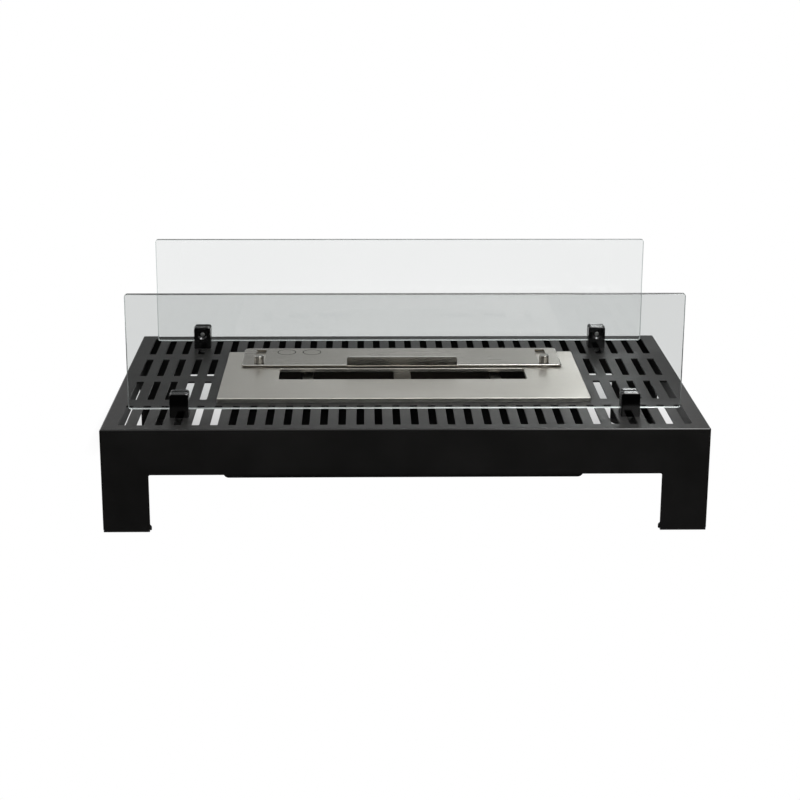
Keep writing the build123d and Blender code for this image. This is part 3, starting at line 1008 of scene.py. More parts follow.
def slotted_sheet_tree(finish: Finish) -> bpy.types.NodeTree:
    """Sheet with rows of slots and one large cut-out.

    Args:
        finish: the sheet's finish.

    Returns:
        The geometry tree.
    """
    names = ["Width", "Depth", "Edge Round", "Top", "Bottom", "Slot Width", "Slot Length", "Slot Corner",
             "Slot Round", "Column Pitch", "Row Pitch", "Clear Half Width", "Cutout Width", "Cutout Depth",
             "Cutout Corner"]
    tree, canvas, source, target = new_group(
        "slotted_sheet", "GeometryNodeTree",
        [(name, "NodeSocketFloat", 1.0) for name in names]
        + [("Columns", "NodeSocketInt", 32), ("Rows", "NodeSocketInt", 4)],
        [("Geometry", "NodeSocketGeometry")])
    get, m = source.outputs, canvas.math

    def wall(sizes: dict[str, object]) -> Socket:
        """Place one edge wall with the sheet's thickness."""
        inputs = {"Top": get["Top"], "Bottom": get["Bottom"], **sizes}
        return canvas.node("GeometryNodeGroup", inputs, node_tree=edge_wall).outputs[0]

    edge_wall = edge_wall_tree()
    outer = wall({"Width": get["Width"], "Depth": get["Depth"], "Corner": get["Edge Round"],
                  "Top Round": get["Edge Round"], "Bottom Round": 0.0, "Side": -1.0, "Corner Steps": 6,
                  "Round Steps": 6})
    cutout = wall({"Width": get["Cutout Width"], "Depth": get["Cutout Depth"], "Corner": get["Cutout Corner"],
                   "Top Round": get["Slot Round"], "Bottom Round": get["Slot Round"], "Side": 1.0,
                   "Corner Steps": 6, "Round Steps": 2})
    slot = wall({"Width": get["Slot Width"], "Depth": get["Slot Length"], "Corner": get["Slot Corner"],
                 "Top Round": get["Slot Round"], "Bottom Round": get["Slot Round"], "Side": 1.0,
                 "Corner Steps": 4, "Round Steps": 3})
    grid = canvas.node("GeometryNodeMeshGrid", {
        "Size X": m("MULTIPLY", m("SUBTRACT", get["Columns"], 1.0), get["Column Pitch"]),
        "Size Y": m("MULTIPLY", m("SUBTRACT", get["Rows"], 1.0), get["Row Pitch"]),
        "Vertices X": get["Columns"], "Vertices Y": get["Rows"]})
    place = canvas.split(canvas.node("GeometryNodeInputPosition").outputs[0])
    over_plate = m("LESS_THAN", m("ABSOLUTE", place[0]), get["Clear Half Width"])
    inner_row = m("LESS_THAN", m("ABSOLUTE", place[1]), get["Row Pitch"])
    points = canvas.node("GeometryNodeDeleteGeometry", {"Geometry": grid.outputs["Mesh"],
                                                        "Selection": m("MULTIPLY", over_plate, inner_row)},
                         domain="POINT")
    many = canvas.node("GeometryNodeInstanceOnPoints", {"Points": points.outputs[0], "Instance": slot})
    real = canvas.node("GeometryNodeRealizeInstances", {"Geometry": many.outputs[0]})
    walls = canvas.node("GeometryNodeJoinGeometry")
    for part in (outer, cutout, real.outputs[0]):
        canvas.tree.links.new(part, walls.inputs[0])
    faces = canvas.node("GeometryNodeInputMeshEdgeNeighbors").outputs[0]
    rim = m("LESS_THAN", faces, 1.5)
    half = m("MULTIPLY", m("ADD", get["Top"], get["Bottom"]), 0.5)
    whole = canvas.node("GeometryNodeJoinGeometry")
    canvas.tree.links.new(walls.outputs[0], whole.inputs[0])
    for level, compare in (("Top", "GREATER_THAN"), ("Bottom", "LESS_THAN")):
        edges = m("MULTIPLY", rim, m(compare, place[2], half))
        line = canvas.node("GeometryNodeMeshToCurve", {"Mesh": walls.outputs[0], "Selection": edges})
        cap = canvas.node("GeometryNodeFillCurve", {"Curve": line.outputs[0]})
        lift = canvas.node("ShaderNodeCombineXYZ", {2: get[level]})
        raised = canvas.node("GeometryNodeSetPosition", {"Geometry": cap.outputs[0],
                                                         "Offset": lift.outputs[0]})
        canvas.tree.links.new(raised.outputs[0], whole.inputs[0])
    merged = canvas.node("GeometryNodeMergeByDistance", {"Geometry": whole.outputs[0], "Distance": WELD})
    end_tree(canvas, merged.outputs[0], finish, target)
    return tree


def fastener_tree(name: str, finish: Finish, rectangles: int) -> bpy.types.NodeTree:
    """Copies of one fastener on the corners of one or two rectangles.

    Args:
        name: the tree's name.
        finish: the fasteners' finish.
        rectangles: number of rectangles.

    Returns:
        The geometry tree. Copies on the front side are turned round if Turn Front is 1.
    """
    sizes = [(f"{axis} Spacing {number + 1}", "NodeSocketFloat", 1.0)
             for number in range(rectangles) for axis in ("X", "Y")]
    tree, canvas, source, target = new_group(
        name, "GeometryNodeTree",
        [("Fastener", "NodeSocketGeometry", None), ("Turn Front", "NodeSocketFloat", 0.0), *sizes],
        [("Geometry", "NodeSocketGeometry")])
    points = canvas.node("GeometryNodeJoinGeometry")
    for number in range(rectangles):
        across, along = (source.outputs[f"{axis} Spacing {number + 1}"] for axis in ("X", "Y"))
        single = canvas.math("LESS_THAN", along, HAIR)
        grid = canvas.node("GeometryNodeMeshGrid", {"Size X": across, "Size Y": along, "Vertices X": 2,
                                                    "Vertices Y": canvas.math("SUBTRACT", 2.0, single)})
        canvas.tree.links.new(grid.outputs["Mesh"], points.inputs[0])
    place = canvas.split(canvas.node("GeometryNodeInputPosition").outputs[0])
    front = canvas.math("MULTIPLY", canvas.math("LESS_THAN", place[1], 0.0), source.outputs["Turn Front"])
    turn = canvas.node("ShaderNodeCombineXYZ", {2: canvas.math("MULTIPLY", front, math.pi)})
    many = canvas.node("GeometryNodeInstanceOnPoints", {
        "Points": points.outputs[0], "Instance": source.outputs[0], "Rotation": turn.outputs[0]})
    end_tree(canvas, many.outputs[0], finish, target)
    return tree


# ---- sub-assemblies ----

CORNERS = [f"{end}_{side}" for end in ("front", "back") for side in ("left", "right")]


def box_of(name: str) -> tuple[Vector, Vector]:
    """Lowest and highest corner of a CAD node in millimetres."""
    low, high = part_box(name)
    return low / MM, high / MM


def centre_of(name: str) -> Vector:
    """Middle of a CAD node's box in millimetres."""
    low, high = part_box(name)
    return (low + high) / 2 / MM


def span_of(name: str, axis: int) -> Point:
    """Lowest and highest millimetre of a CAD node along one axis."""
    low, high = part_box(name)
    return low[axis] / MM, high[axis] / MM


def thread(radius: float, low: float, high: float, pitch: float, depth: float) -> list[Point]:
    """Profile of a threaded length.

    Args:
        radius: its outer radius.
        low: where it starts.
        high: where it ends.
        pitch: distance between crests.
        depth: depth of the roots.

    Returns:
        Radius and height of each crest and root.
    """
    turns = max(1, round((high - low) / pitch))
    root_end, crest_start, crest_end = 0.1, 0.45, 0.6
    points = []
    for turn in range(turns):
        start = low + (high - low) * turn / turns
        points += [(radius - depth, start + root_end * pitch), (radius, start + crest_start * pitch),
                   (radius, start + crest_end * pitch)]
    return [(radius - depth, low), *points, (radius - depth, high)]


def drilled(name: str, outline: Outline, hole: float, edge: float, hole_edge: float) -> bmesh.types.BMesh:
    """Nut or washer on the Z axis, as thick as a CAD node and at its height.

    Args:
        name: the CAD node.
        outline: its outer edge.
        hole: radius of its hole.
        edge: rounding of its outer edge.
        hole_edge: rounding of its hole.

    Returns:
        The closed mesh.
    """
    bore = Rim(circle(hole), hole_edge, hole_edge, 1)
    return flat_piece(Rim(outline, edge, edge, 2), [bore], *span_of(name, 2))


@dataclass
class TableShell:
    """Slotted top, four panels with the legs, foot plates and pads."""

    edge_radius: float = 1.8
    sheet: float = 2.0
    slot_width: float = 7.6
    slot_length: float = 62.0
    slot_corner: float = 1.3
    slot_round: float = 0.45
    columns: int = 32
    rows: int = 4
    side_margin: float = 20.0
    edge_margin: float = 14.5
    clear_half_width: float = 200.0
    cutout_corner: float = 4.0
    cutout: Point = (374.0, 151.0)
    apron: float = 47.0
    leg: float = 46.5
    pad: float = 1.5
    corner: float = 2.0
    cut_round: float = 0.3
    end_margin: float = 5.0

    def top(self) -> bmesh.types.BMesh:
        """Build the slotted top sheet.

        Returns:
            The top's mesh.
        """
        low, high = box_of("table_top")
        width, depth = high.x - low.x, high.y - low.y
        bm = grow(slotted_sheet_tree(POWDER), {
            "Width": width, "Depth": depth, "Edge Round": self.edge_radius, "Top": high.z, "Bottom": low.z,
            "Slot Width": self.slot_width, "Slot Length": self.slot_length, "Slot Corner": self.slot_corner,
            "Slot Round": self.slot_round, "Columns": self.columns, "Rows": self.rows,
            "Column Pitch": (width - 2 * self.side_margin) / (self.columns - 1),
            "Row Pitch": (depth - 2 * self.edge_margin - self.slot_length) / (self.rows - 1),
            "Clear Half Width": self.clear_half_width, "Cutout Width": self.cutout[0],
            "Cutout Depth": self.cutout[1], "Cutout Corner": self.cutout_corner})
        # the outer rounding gets the edge coat, with its painted shade
        inner = self.edge_radius + HAIR
        for face in bm.faces:
            middle = face.calc_center_median()
            past = max(abs(middle.x) - width / 2 + inner, abs(middle.y) - depth / 2 + inner)
            face.material_index = 1 if past > 0 and middle.z > low.z + HAIR else 0
        return bm

    def outline(self, length: float, leg: float, high: float, toe: bool) -> list[Point]:
        """Draw a panel with a leg at each end.

        Args:
            length: the panel's length.
            leg: width of each leg.
            high: height of the panel's upper edge.
            toe: rounds the legs' lower corners.

        Returns:
            The outline's points.
        """
        low, arch, half = self.pad, high + self.sheet - self.apron, length / 2
        inner = half - leg
        r, steps = self.corner, 6

        def arc(x: float, y: float, start: int, turn: int) -> list[Point]:
            """Give a quarter circle round a middle, from an angle and turning 1 or -1."""
            angles = [math.radians(start + turn * 90 * i / steps) for i in range(steps + 1)]
            return [(x + r * math.cos(angle), y + r * math.sin(angle)) for angle in angles]

        right = [(half, high)]
        if toe:
            right += arc(half - r, low + r, 0, -1) + arc(inner + r, low + r, 270, -1)
        else:
            right += [(half, low), (inner, low)]
        right += arc(inner - r, arch - r, 0, 1)
        return right + [(-x, y) for x, y in reversed(right)]

    def panel(self, name: str, along: int, leg: float, toe: bool) -> bmesh.types.BMesh:
        """Build one panel where the CAD has it.

        Args:
            name: the CAD node.
            along: 0 for a panel along X, 1 for one along Y.
            leg: width of each leg.
            toe: rounds the legs' lower corners, and the panel's ends.

        Returns:
            The panel's mesh.
        """
        length = span_of(name, along)[1] * 2
        high = span_of(name, 2)[1]
        near, far = sorted(span_of(name, 1 - along), key=abs)
        side = math.copysign(1.0, far)
        bm = prism(self.outline(length, leg, high, toe), abs(near), abs(far))
        if toe:
            r = self.edge_radius
            corner = [(length / 2 - r * (1 - math.cos(turn)), abs(far) - r * (1 - math.sin(turn)))
                      for turn in quarter(8)]
            mirrored = [(-x, y) for x, y in reversed(corner)]
            plan = [(length / 2, abs(near)), *corner, *mirrored, (-length / 2, abs(near))]
            rounded_ends = prism(plan, 0.0, high + OVER)
            upright(rounded_ends)
            bm = combine(bm, [rounded_ends], "INTERSECT")
        upright(bm, side)
        if along:
            bm.transform(Matrix(((0, 1, 0, 0), (1, 0, 0, 0), (0, 0, 1, 0), (0, 0, 0, 1))))

        def is_cut(mid: Vector, way: Vector) -> bool:
            """Say whether an edge is on the arch or inside a leg."""
            between = self.pad + CLEAR < mid.z < high - HAIR
            return between and abs(mid[along]) < length / 2 - self.end_margin and abs(way[1 - along]) < ALONG

        return soften(bm, self.cut_round, 2, CUT_ANGLE, chosen=is_cut)

    def build(self) -> None:
        """Make the top and the panels, and dress the feet."""
        add_piece("slotted_top", self.top(), [POWDER, POWDER_EDGE_SHADED], Body.TABLE, ["table_top"])
        for name in ("front_panel", "back_panel"):
            add_piece(f"{name}_sheet", self.panel(name, 0, self.leg, True), [POWDER], Body.TABLE, [name])
        for name in ("left_panel", "right_panel"):
            add_piece(f"{name}_sheet", self.panel(name, 1, self.leg - self.sheet, False), [POWDER],
                      Body.TABLE, [name])
        dress([f"foot_plate_{corner}" for corner in CORNERS], POWDER)
        dress([f"foot_pad_{corner}" for corner in CORNERS], PAD_RUBBER)


@dataclass
class Cradle:
    """Black cradle under the top, on weld studs with nuts."""

    stud_radius: float = 2.0
    nut_flats: float = 7.0
    end_spacing: float = 80.0
    side_spacing: float = 220.0
    pitch: float = 0.7
    thread_depth: float = 0.25
    nut_round: float = 0.35
    bore_round: float = 0.2

    def build(self) -> None:
        """Dress the cradle and make its fasteners."""
        dress(["burner_cradle"], CRADLE_PAINT)
        low, high = span_of("cradle_studs", 2)
        reach_x = span_of("cradle_studs", 0)[1] - self.stud_radius
        reach_y = span_of("cradle_studs", 1)[1] - self.stud_radius
        spots = {"X Spacing 1": 2 * reach_x, "Y Spacing 1": self.end_spacing,
                 "X Spacing 2": self.side_spacing, "Y Spacing 2": 2 * reach_y}
        tree = fastener_tree("cradle_fasteners", ZINC, 2)
        profile = thread(self.stud_radius, low, high, self.pitch, self.thread_depth)
        add_piece("cradle_weld_studs", grow(tree, spots, turned(profile, 24)), [ZINC], Body.TABLE,
                  ["cradle_studs"])
        nut = drilled("cradle_nuts", hexagon(self.nut_flats), self.stud_radius, self.nut_round,
                      self.bore_round)
        add_piece("cradle_hex_nuts", grow(tree, spots, nut), [ZINC], Body.TABLE, ["cradle_nuts"])


@dataclass
class Burner:
    """Stainless drop-in burner: pressed plate, tank, strap, bars, wool and guide studs."""

    sheet: float = 1.5
    corner: float = 2.0
    edge: float = 0.9
    mouth: Point = (265.0, 38.4)
    mouth_corner: float = 1.5
    mouth_edge: float = 0.5
    neck: float = 3.6
    guide_radius: float = 5.2
    guide_edge: float = 1.0
    spigot: float = 2.5
    nut_flats: float = 8.0
    guide_foot: float = 0.25
    undercut: float = 0.3
    pitch: float = 0.8
    thread_depth: float = 0.25
    nut_round: float = 0.4
    bore_round: float = 0.2
    strap_edge: float = 0.35
    wool_relief: float = 1.2
    wool_grid: tuple[int, int] = (90, 36)
    wool_fall: Point = (3.0, 5.0)

    def plate(self) -> bmesh.types.BMesh:
        """Build the plate as one pressed sheet, from its outer rim to the mouth's neck.

        Returns:
            The plate's mesh.
        """
        low, high = box_of("burner_plate")
        width, depth = high.x - low.x, high.y - low.y
        outer, mouth = rounded(width, depth, self.corner), rounded(*self.mouth, self.mouth_corner)
        top, bend, rim = high.z, self.edge, low.z
        inside, lip = top - self.sheet, top - self.neck
        turns = quarter(5)
        section: list[tuple[Outline, float, float]] = [(mouth, self.sheet, lip), (mouth, 0.0, lip)]
        section += [(mouth, self.mouth_edge * (1 - math.cos(turn)),
                     top - self.mouth_edge * (1 - math.sin(turn))) for turn in turns]
        section += [(outer, -bend * (1 - math.sin(turn)), top - bend * (1 - math.cos(turn)))
                    for turn in turns]
        section += [(outer, 0.0, rim), (outer, -self.sheet, rim), (outer, -self.sheet, inside),
                    (mouth, self.sheet, inside)]
        bm = bmesh.new()
        join_loops(bm, [[Vector((x, y, z)) for x, y in outline(grown)] for outline, grown, z in section],
                   ring=True)
        return bm

    def guides(self) -> bmesh.types.BMesh:
        """Turn one guide stud with its threaded spigot.

        Returns:
            The stud's mesh on the Z axis.
        """
        low, high = span_of("guide_stud_left", 2)
        seat = span_of("burner_plate", 2)[1]
        crown = [(self.guide_radius - self.guide_edge * (1 - math.cos(turn)),
                  high - self.guide_edge * (1 - math.sin(turn))) for turn in quarter(5)]
        body = [(self.guide_radius - self.guide_foot, seat), (self.guide_radius, seat + self.guide_foot)]
        screwed = thread(self.spigot, low, seat - self.undercut, self.pitch, self.thread_depth)
        return turned(screwed + [(self.spigot, seat)] + body + crown)

    def wool(self) -> bmesh.types.BMesh:
        """Build the wool as a board with an uneven, fibrous top.

        Returns:
            The wool's mesh.
        """
        low, high = box_of("ceramic_wool")
        columns, rows = self.wool_grid
        drop, margin = self.wool_fall
        bm = bmesh.new()
        loops = []
        for row in range(rows + 1):
            y = low.y + (high.y - low.y) * row / rows
            line = []
            for column in range(columns + 1):
                x = low.x + (high.x - low.x) * column / columns
                wave = (math.sin(x * 0.31 + 1.7 * math.sin(y * 0.23))
                        * math.sin(y * 0.37 + 1.3 * math.sin(x * 0.17)))
                fray = math.sin(x * 1.9 + y * 0.8) * math.sin(y * 2.3 - x * 0.5)
                edge = min(x - low.x, high.x - x, y - low.y, high.y - y)
                fall = drop * max(0.0, 1 - edge / margin) ** 2
                line.append((x, y, high.z - self.wool_relief * (0.5 - 0.35 * wave - 0.15 * fray) - fall))
            loops.append([bm.verts.new(point) for point in line])
        for near, far in zip(loops, loops[1:]):
            for i in range(columns):
                bm.faces.new((near[i], near[i + 1], far[i + 1], far[i]))
        border = (loops[0] + [line[-1] for line in loops[1:]] + loops[-1][-2::-1]
                  + [line[0] for line in loops[-2:0:-1]])
        feet = [bm.verts.new((vert.co.x, vert.co.y, low.z)) for vert in border]
        for i in range(len(border)):
            following = (i + 1) % len(border)
            bm.faces.new((border[i], border[following], feet[following], feet[i]))
        bm.faces.new(feet)
        return bm

    def build(self) -> None:
        """Make the burner's visible pieces and dress the others."""
        add_piece("pressed_plate", self.plate(), [PLATE_STEEL], Body.BURNER, ["burner_plate"])
        # the tank's steel gets painted shade inside its walls
        low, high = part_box("burner_tank")
        half_wall = self.sheet / 2 * MM
        dress(["burner_tank"], replace(TANK_STEEL, inner=(high.x - half_wall, high.y - half_wall),
                                       floor=low.z + half_wall))
        low, high = box_of("mouth_bridge")
        add_piece("mouth_strap", soften(cuboid(low, high), self.strap_edge, 3), [SHADED_STRAP_STEEL], Body.BURNER,
                  ["mouth_bridge"])
        for side in ("left", "right"):
            low, high = box_of(f"wool_bar_{side}")
            add_piece(f"bar_{side}", soften(cuboid(low, high), self.strap_edge, 2), [LIT_BAR_STEEL],
                      Body.BURNER, [f"wool_bar_{side}"])
        add_piece("wool_board", self.wool(), [WOOL], Body.BURNER, ["ceramic_wool"])
        guide = centre_of("guide_stud_right")
        spots = {"X Spacing 1": 2 * guide.x, "Y Spacing 1": 0.0}
        for name, mesh, finish, nodes in (
                ("guide_studs", self.guides(), TURNED_STEEL, ["guide_stud_left", "guide_stud_right"]),
                ("guide_hex_nuts", self.guide_nut(), ZINC, ["guide_nuts"])):
            bm = grow(fastener_tree(name, finish, 1), spots, mesh)
            bmesh.ops.translate(bm, vec=(0.0, guide.y, 0.0), verts=bm.verts)
            add_piece(name, bm, [finish], Body.BURNER, nodes)
        dress(["guide_spacer_left", "guide_spacer_right"], LID_STEEL)

    def guide_nut(self) -> bmesh.types.BMesh:
        """Build one nut of the guide studs on the Z axis."""
        return drilled("guide_nuts", hexagon(self.nut_flats), self.spigot, self.nut_round, self.bore_round)


@dataclass
class RegulatorLid:
    """Sliding lid with an upturned lip, two guide slots and two etched rings."""

    sheet: float = 2.0
    corner: float = 5.0
    lip_width: float = 120.0
    lip_reach: float = 3.0
    lip_bend: float = 3.5
    lip_corner: float = 2.5
    slot: Point = (11.0, 56.0)
    slot_corner: float = 2.0
    slot_land: float = 3.0
    edge: float = 0.8
    under_edge: float = 0.4
    lip_edge: float = 0.95
    slot_edge: float = 0.3
    ring_radius: float = 10.4
    ring_width: float = 1.1
    ring_sink: float = 0.1
    ring_rise: float = 0.03
    rings: tuple[Point, ...] = ((-127.7, 74.0), (-99.6, 74.0))
    # bands of normal Z for the painted shade and the painted highlight on the lid's edges
    cut_and_shade_facing: Point = (-0.95, 0.2)
    highlight_facing: float = 0.99

    def lip(self, face: float, low: float, tip: float, root: float) -> bmesh.types.BMesh:
        """Bend the lip up from the lid's front edge.

        Args:
            face: Y of the lip's front face.
            low: underside of the lid.
            tip: height of the lip's upper edge.
            root: Y where the lip runs into the lid.

        Returns:
            The lip's mesh.
        """
        bend, sheet, angles = self.lip_bend, self.sheet, quarter(8)
        reach = bend - sheet
        outer = [(face + bend * (1 - math.sin(a)), low + bend * (1 - math.cos(a))) for a in angles]
        inner = [(face + bend - reach * math.cos(a), low + bend - reach * math.sin(a)) for a in angles]
        points = [(root, low), *outer, (face, tip), (face + sheet, tip), *inner, (root, low + sheet)]
        bm = prism(points, -self.lip_width / 2, self.lip_width / 2)
        bm.transform(Matrix(((0, 0, 1, 0), (1, 0, 0, 0), (0, 1, 0, 0), (0, 0, 0, 1))))
        soften(bm, self.lip_corner, 6, chosen=lambda mid, way: abs(way.y) > ALONG and mid.z > tip - HAIR)
        return soften(bm, self.lip_edge, 3, CUT_ANGLE, chosen=lambda mid, way: mid.z > low + bend + CLEAR)

    def build(self) -> None:
        """Make the lid and its rings, with painted shade and a painted highlight on its edges."""
        low, high = box_of("regulator_lid")
        nose, under, top = low.y, low.z, low.z + self.sheet
        front = nose + self.lip_reach
        plate = rounded(high.x - low.x, high.y - front, self.corner, 8, (0.0, (front + high.y) / 2))
        flat = flat_piece(Rim(plate, self.edge, self.under_edge, 4), [], under, top)
        guide = centre_of("guide_stud_right").x
        slot_middle = front + self.slot_land + self.slot[1] / 2
        slots = [rounded(*self.slot, self.slot_corner, 5, (side * guide, slot_middle)) for side in (-1, 1)]
        cutters = [flat_piece(Rim(slot, 0.0, 0.0), [], under - OVER, top + OVER) for slot in slots]
        lid = combine(flat, [self.lip(nose, under, high.z, front + 2 * self.sheet)], "UNION")
        lid = soften(combine(lid, cutters), self.slot_edge, 2, CUT_ANGLE,
                     chosen=lambda mid, way: mid.y > front + CLEAR)
        bmesh.ops.recalc_face_normals(lid, faces=lid.faces)
        down, up = self.cut_and_shade_facing
        # faces turned up and the lip's tip get a painted highlight; edge faces square or turned down get
        # painted shade
        for face in lid.faces:
            middle = face.calc_center_median()
            tip = middle.z > high.z - self.lip_edge - HAIR
            edge = middle.y > front - HAIR and under - HAIR < middle.z < top
            if tip or (edge and up <= face.normal.z < self.highlight_facing):
                face.material_index = 2
            else:
                face.material_index = int(edge and down < face.normal.z < up)
        add_piece("sliding_lid", lid, [LID_STEEL, CUT_EDGE_AND_SHADE, DEBURRED_EDGE_HIGHLIGHT], Body.LID, ["regulator_lid"])
        etched = bmesh.new()
        for x, y in self.rings:
            ring = flat_piece(Rim(circle(self.ring_radius, 64, (x, y)), 0.0, 0.0),
                              [Rim(circle(self.ring_radius - self.ring_width, 64, (x, y)), 0.0, 0.0)],
                              top - self.ring_sink, top + self.ring_rise)
            mesh = to_mesh(ring, "ring")
            etched.from_mesh(mesh)
            bpy.data.meshes.remove(mesh)
        add_piece("lid_rings", etched, [ETCHED], Body.LID)


@dataclass
class Screens:
    """Two glass panes, each in two clamps with liner, grub screw, washer and bolt."""

    pane_corner: float = 3.0
    pane_edge: float = 0.6
    clamp_corner: float = 3.0
    clamp_edge: float = 1.2
    outer_jaw: float = 5.5
    inner_jaw: float = 6.0
    slot_floor: float = 113.5
    recess: Place = (5.3, 3.6, 1.5)
    screw_height: float = 16.0
    screw_radius: float = 2.5
    socket: Point = (2.5, 2.0)
    bolt_radius: float = 2.4
    washer_hole: float = 2.6
    head_height: float = 2.8
    cut_round: float = 0.3
    pitch: float = 0.8
    bolt_thread: float = 0.25
    screw_thread: float = 0.2
    screw_mouth: Place = (0.3, 0.35, 0.4)
    screw_point: Point = (0.4, 0.3)
    washer_round: float = 0.15
    hole_round: float = 0.1

    def pane(self, name: str) -> bmesh.types.BMesh:
        """Build one pane with ground edges.

        Args:
            name: its CAD node.

        Returns:
            The pane's mesh, with its edges on the second material.
        """
        low, high = box_of(name)
        middle = (low + high) / 2
        outline = rounded(high.x - low.x, high.z - low.z, self.pane_corner, 6)
        bm = flat_piece(Rim(outline, self.pane_edge, self.pane_edge, 2), [], low.y, high.y)
        upright(bm, shift=(0.0, 0.0, middle.z))
        bmesh.ops.recalc_face_normals(bm, faces=bm.faces)
        for face in bm.faces:
            face.material_index = 0 if abs(face.normal.y) > SQUARE else 1
        return bm

    def clamp(self, name: str) -> bmesh.types.BMesh:
        """Build one clamp where the CAD has it.

        Args:
            name: its CAD node.

        Returns:
            The clamp's mesh.
        """
        low, high = box_of(name)
        side = math.copysign(1.0, low.y)
        near, far = sorted((abs(low.y), abs(high.y)))
        width, height, middle = high.x - low.x, high.z - low.z, (low.x + high.x) / 2
        outline = rounded(width, 2 * height, self.clamp_corner, 6)
        body = flat_piece(Rim(outline, self.clamp_edge, self.clamp_edge, 4), [], near, far)
        body = combine(body, [cuboid((-width, -2 * height, near - OVER), (width, 0.0, far + OVER))])
        slot = cuboid((-width, self.slot_floor - low.z, near + self.inner_jaw),
                      (width, height + OVER, far - self.outer_jaw))
        mouth, seat, depth = self.recess
        recess = turned([(mouth + (mouth - seat) / depth * OVER, near - OVER), (seat, near + depth)], 48)
        bore = turned([(self.screw_radius, near - OVER),
                       (self.screw_radius, near + self.inner_jaw + OVER / 2)], 32)
        for tool in (recess, bore):
            bmesh.ops.translate(tool, vec=(0.0, self.screw_height, 0.0), verts=tool.verts)
        body = soften(combine(body, [slot, recess, bore]), self.cut_round, 3, CUT_ANGLE,
                      chosen=lambda mid, way: mid.y > HAIR)
        upright(body, side, (middle, 0.0, low.z))
        return body

    def screw(self) -> bmesh.types.BMesh:
        """Build a grub screw for a back clamp, with its hexagonal socket.

        Returns:
            The screw's mesh, on its own axis at the middle of the two clamps.
        """
        low, high = span_of("clamp_screw_back_left", 1)
        centre = centre_of("clamp_screw_back_left")
        radius, (flats, depth) = self.screw_radius, self.socket
        inset, chamfer, start = self.screw_mouth
        point, stop = self.screw_point
        profile = [(radius - inset, low), (radius, low + chamfer)]
        profile += thread(radius, low + start, high - stop, self.pitch, self.screw_thread)
        profile += [(radius - point, high)]
        bm = capped([(hexagon(flats)(0), low + depth), (hexagon(flats)(0), low)]
                    + [(circle(r)(0), y) for r, y in profile])
        upright(bm, shift=(0.0, -centre.y, centre.z))
        return bm

    def bolt(self) -> bmesh.types.BMesh:
        """Turn a clamp's bolt with its domed head.

        Returns:
            The bolt's mesh on the Z axis.
        """
        low, high = span_of("clamp_bolt_back_left", 2)
        left, right = span_of("clamp_bolt_back_left", 0)
        radius = (right - left) / 2
        seat, dome = low + self.head_height, self.head_height / 2
        head = [(radius - dome * (1 - math.sin(turn)), low + dome * (1 - math.cos(turn)))
                for turn in quarter(6)[1:]]
        shank = thread(self.bolt_radius, seat + HAIR, high, self.pitch, self.bolt_thread)
        return turned([(radius - dome, low), *head, (radius, seat)] + shank, 36)

    def washer(self) -> bmesh.types.BMesh:
        """Build a clamp's washer on the Z axis."""
        left, right = span_of("clamp_washer_back_left", 0)
        return drilled("clamp_washer_back_left", circle((right - left) / 2), self.washer_hole,
                       self.washer_round, self.hole_round)

    def build(self) -> None:
        """Make panes, clamps and fasteners, and dress the liners."""
        for end, pane in (("front", SHADED_FRONT_PANE), ("back", BACK_PANE)):
            add_piece(f"{end}_pane", self.pane(f"{end}_glass"), [pane, PANE_EDGE], Body.TABLE,
                      [f"{end}_glass"])
        for corner in CORNERS:
            add_piece(f"clamp_{corner}", self.clamp(f"glass_clamp_{corner}"), [BLACK_CHROME], Body.TABLE,
                      [f"glass_clamp_{corner}"], crease=35.0)
        dress([f"clamp_liner_{corner}" for corner in CORNERS], LINER_RUBBER)
        for name, mesh in (("screw", self.screw()), ("bolt", self.bolt()), ("washer", self.washer())):
            centre = centre_of(f"clamp_{name}_back_right")
            spots = {"X Spacing 1": 2 * centre.x, "Y Spacing 1": 2 * centre.y, "Turn Front": 1.0}
            add_piece(f"clamp_{name}s", grow(fastener_tree(f"clamp_{name}s", ZINC, 1), spots, mesh), [ZINC],
                      Body.TABLE, [f"clamp_{name}_{corner}" for corner in CORNERS])


# ---- studio ----


@dataclass
class Card:
    """Soft light card."""

    name: str
    place: Place
    aim: Place
    size: Point
    watts: float


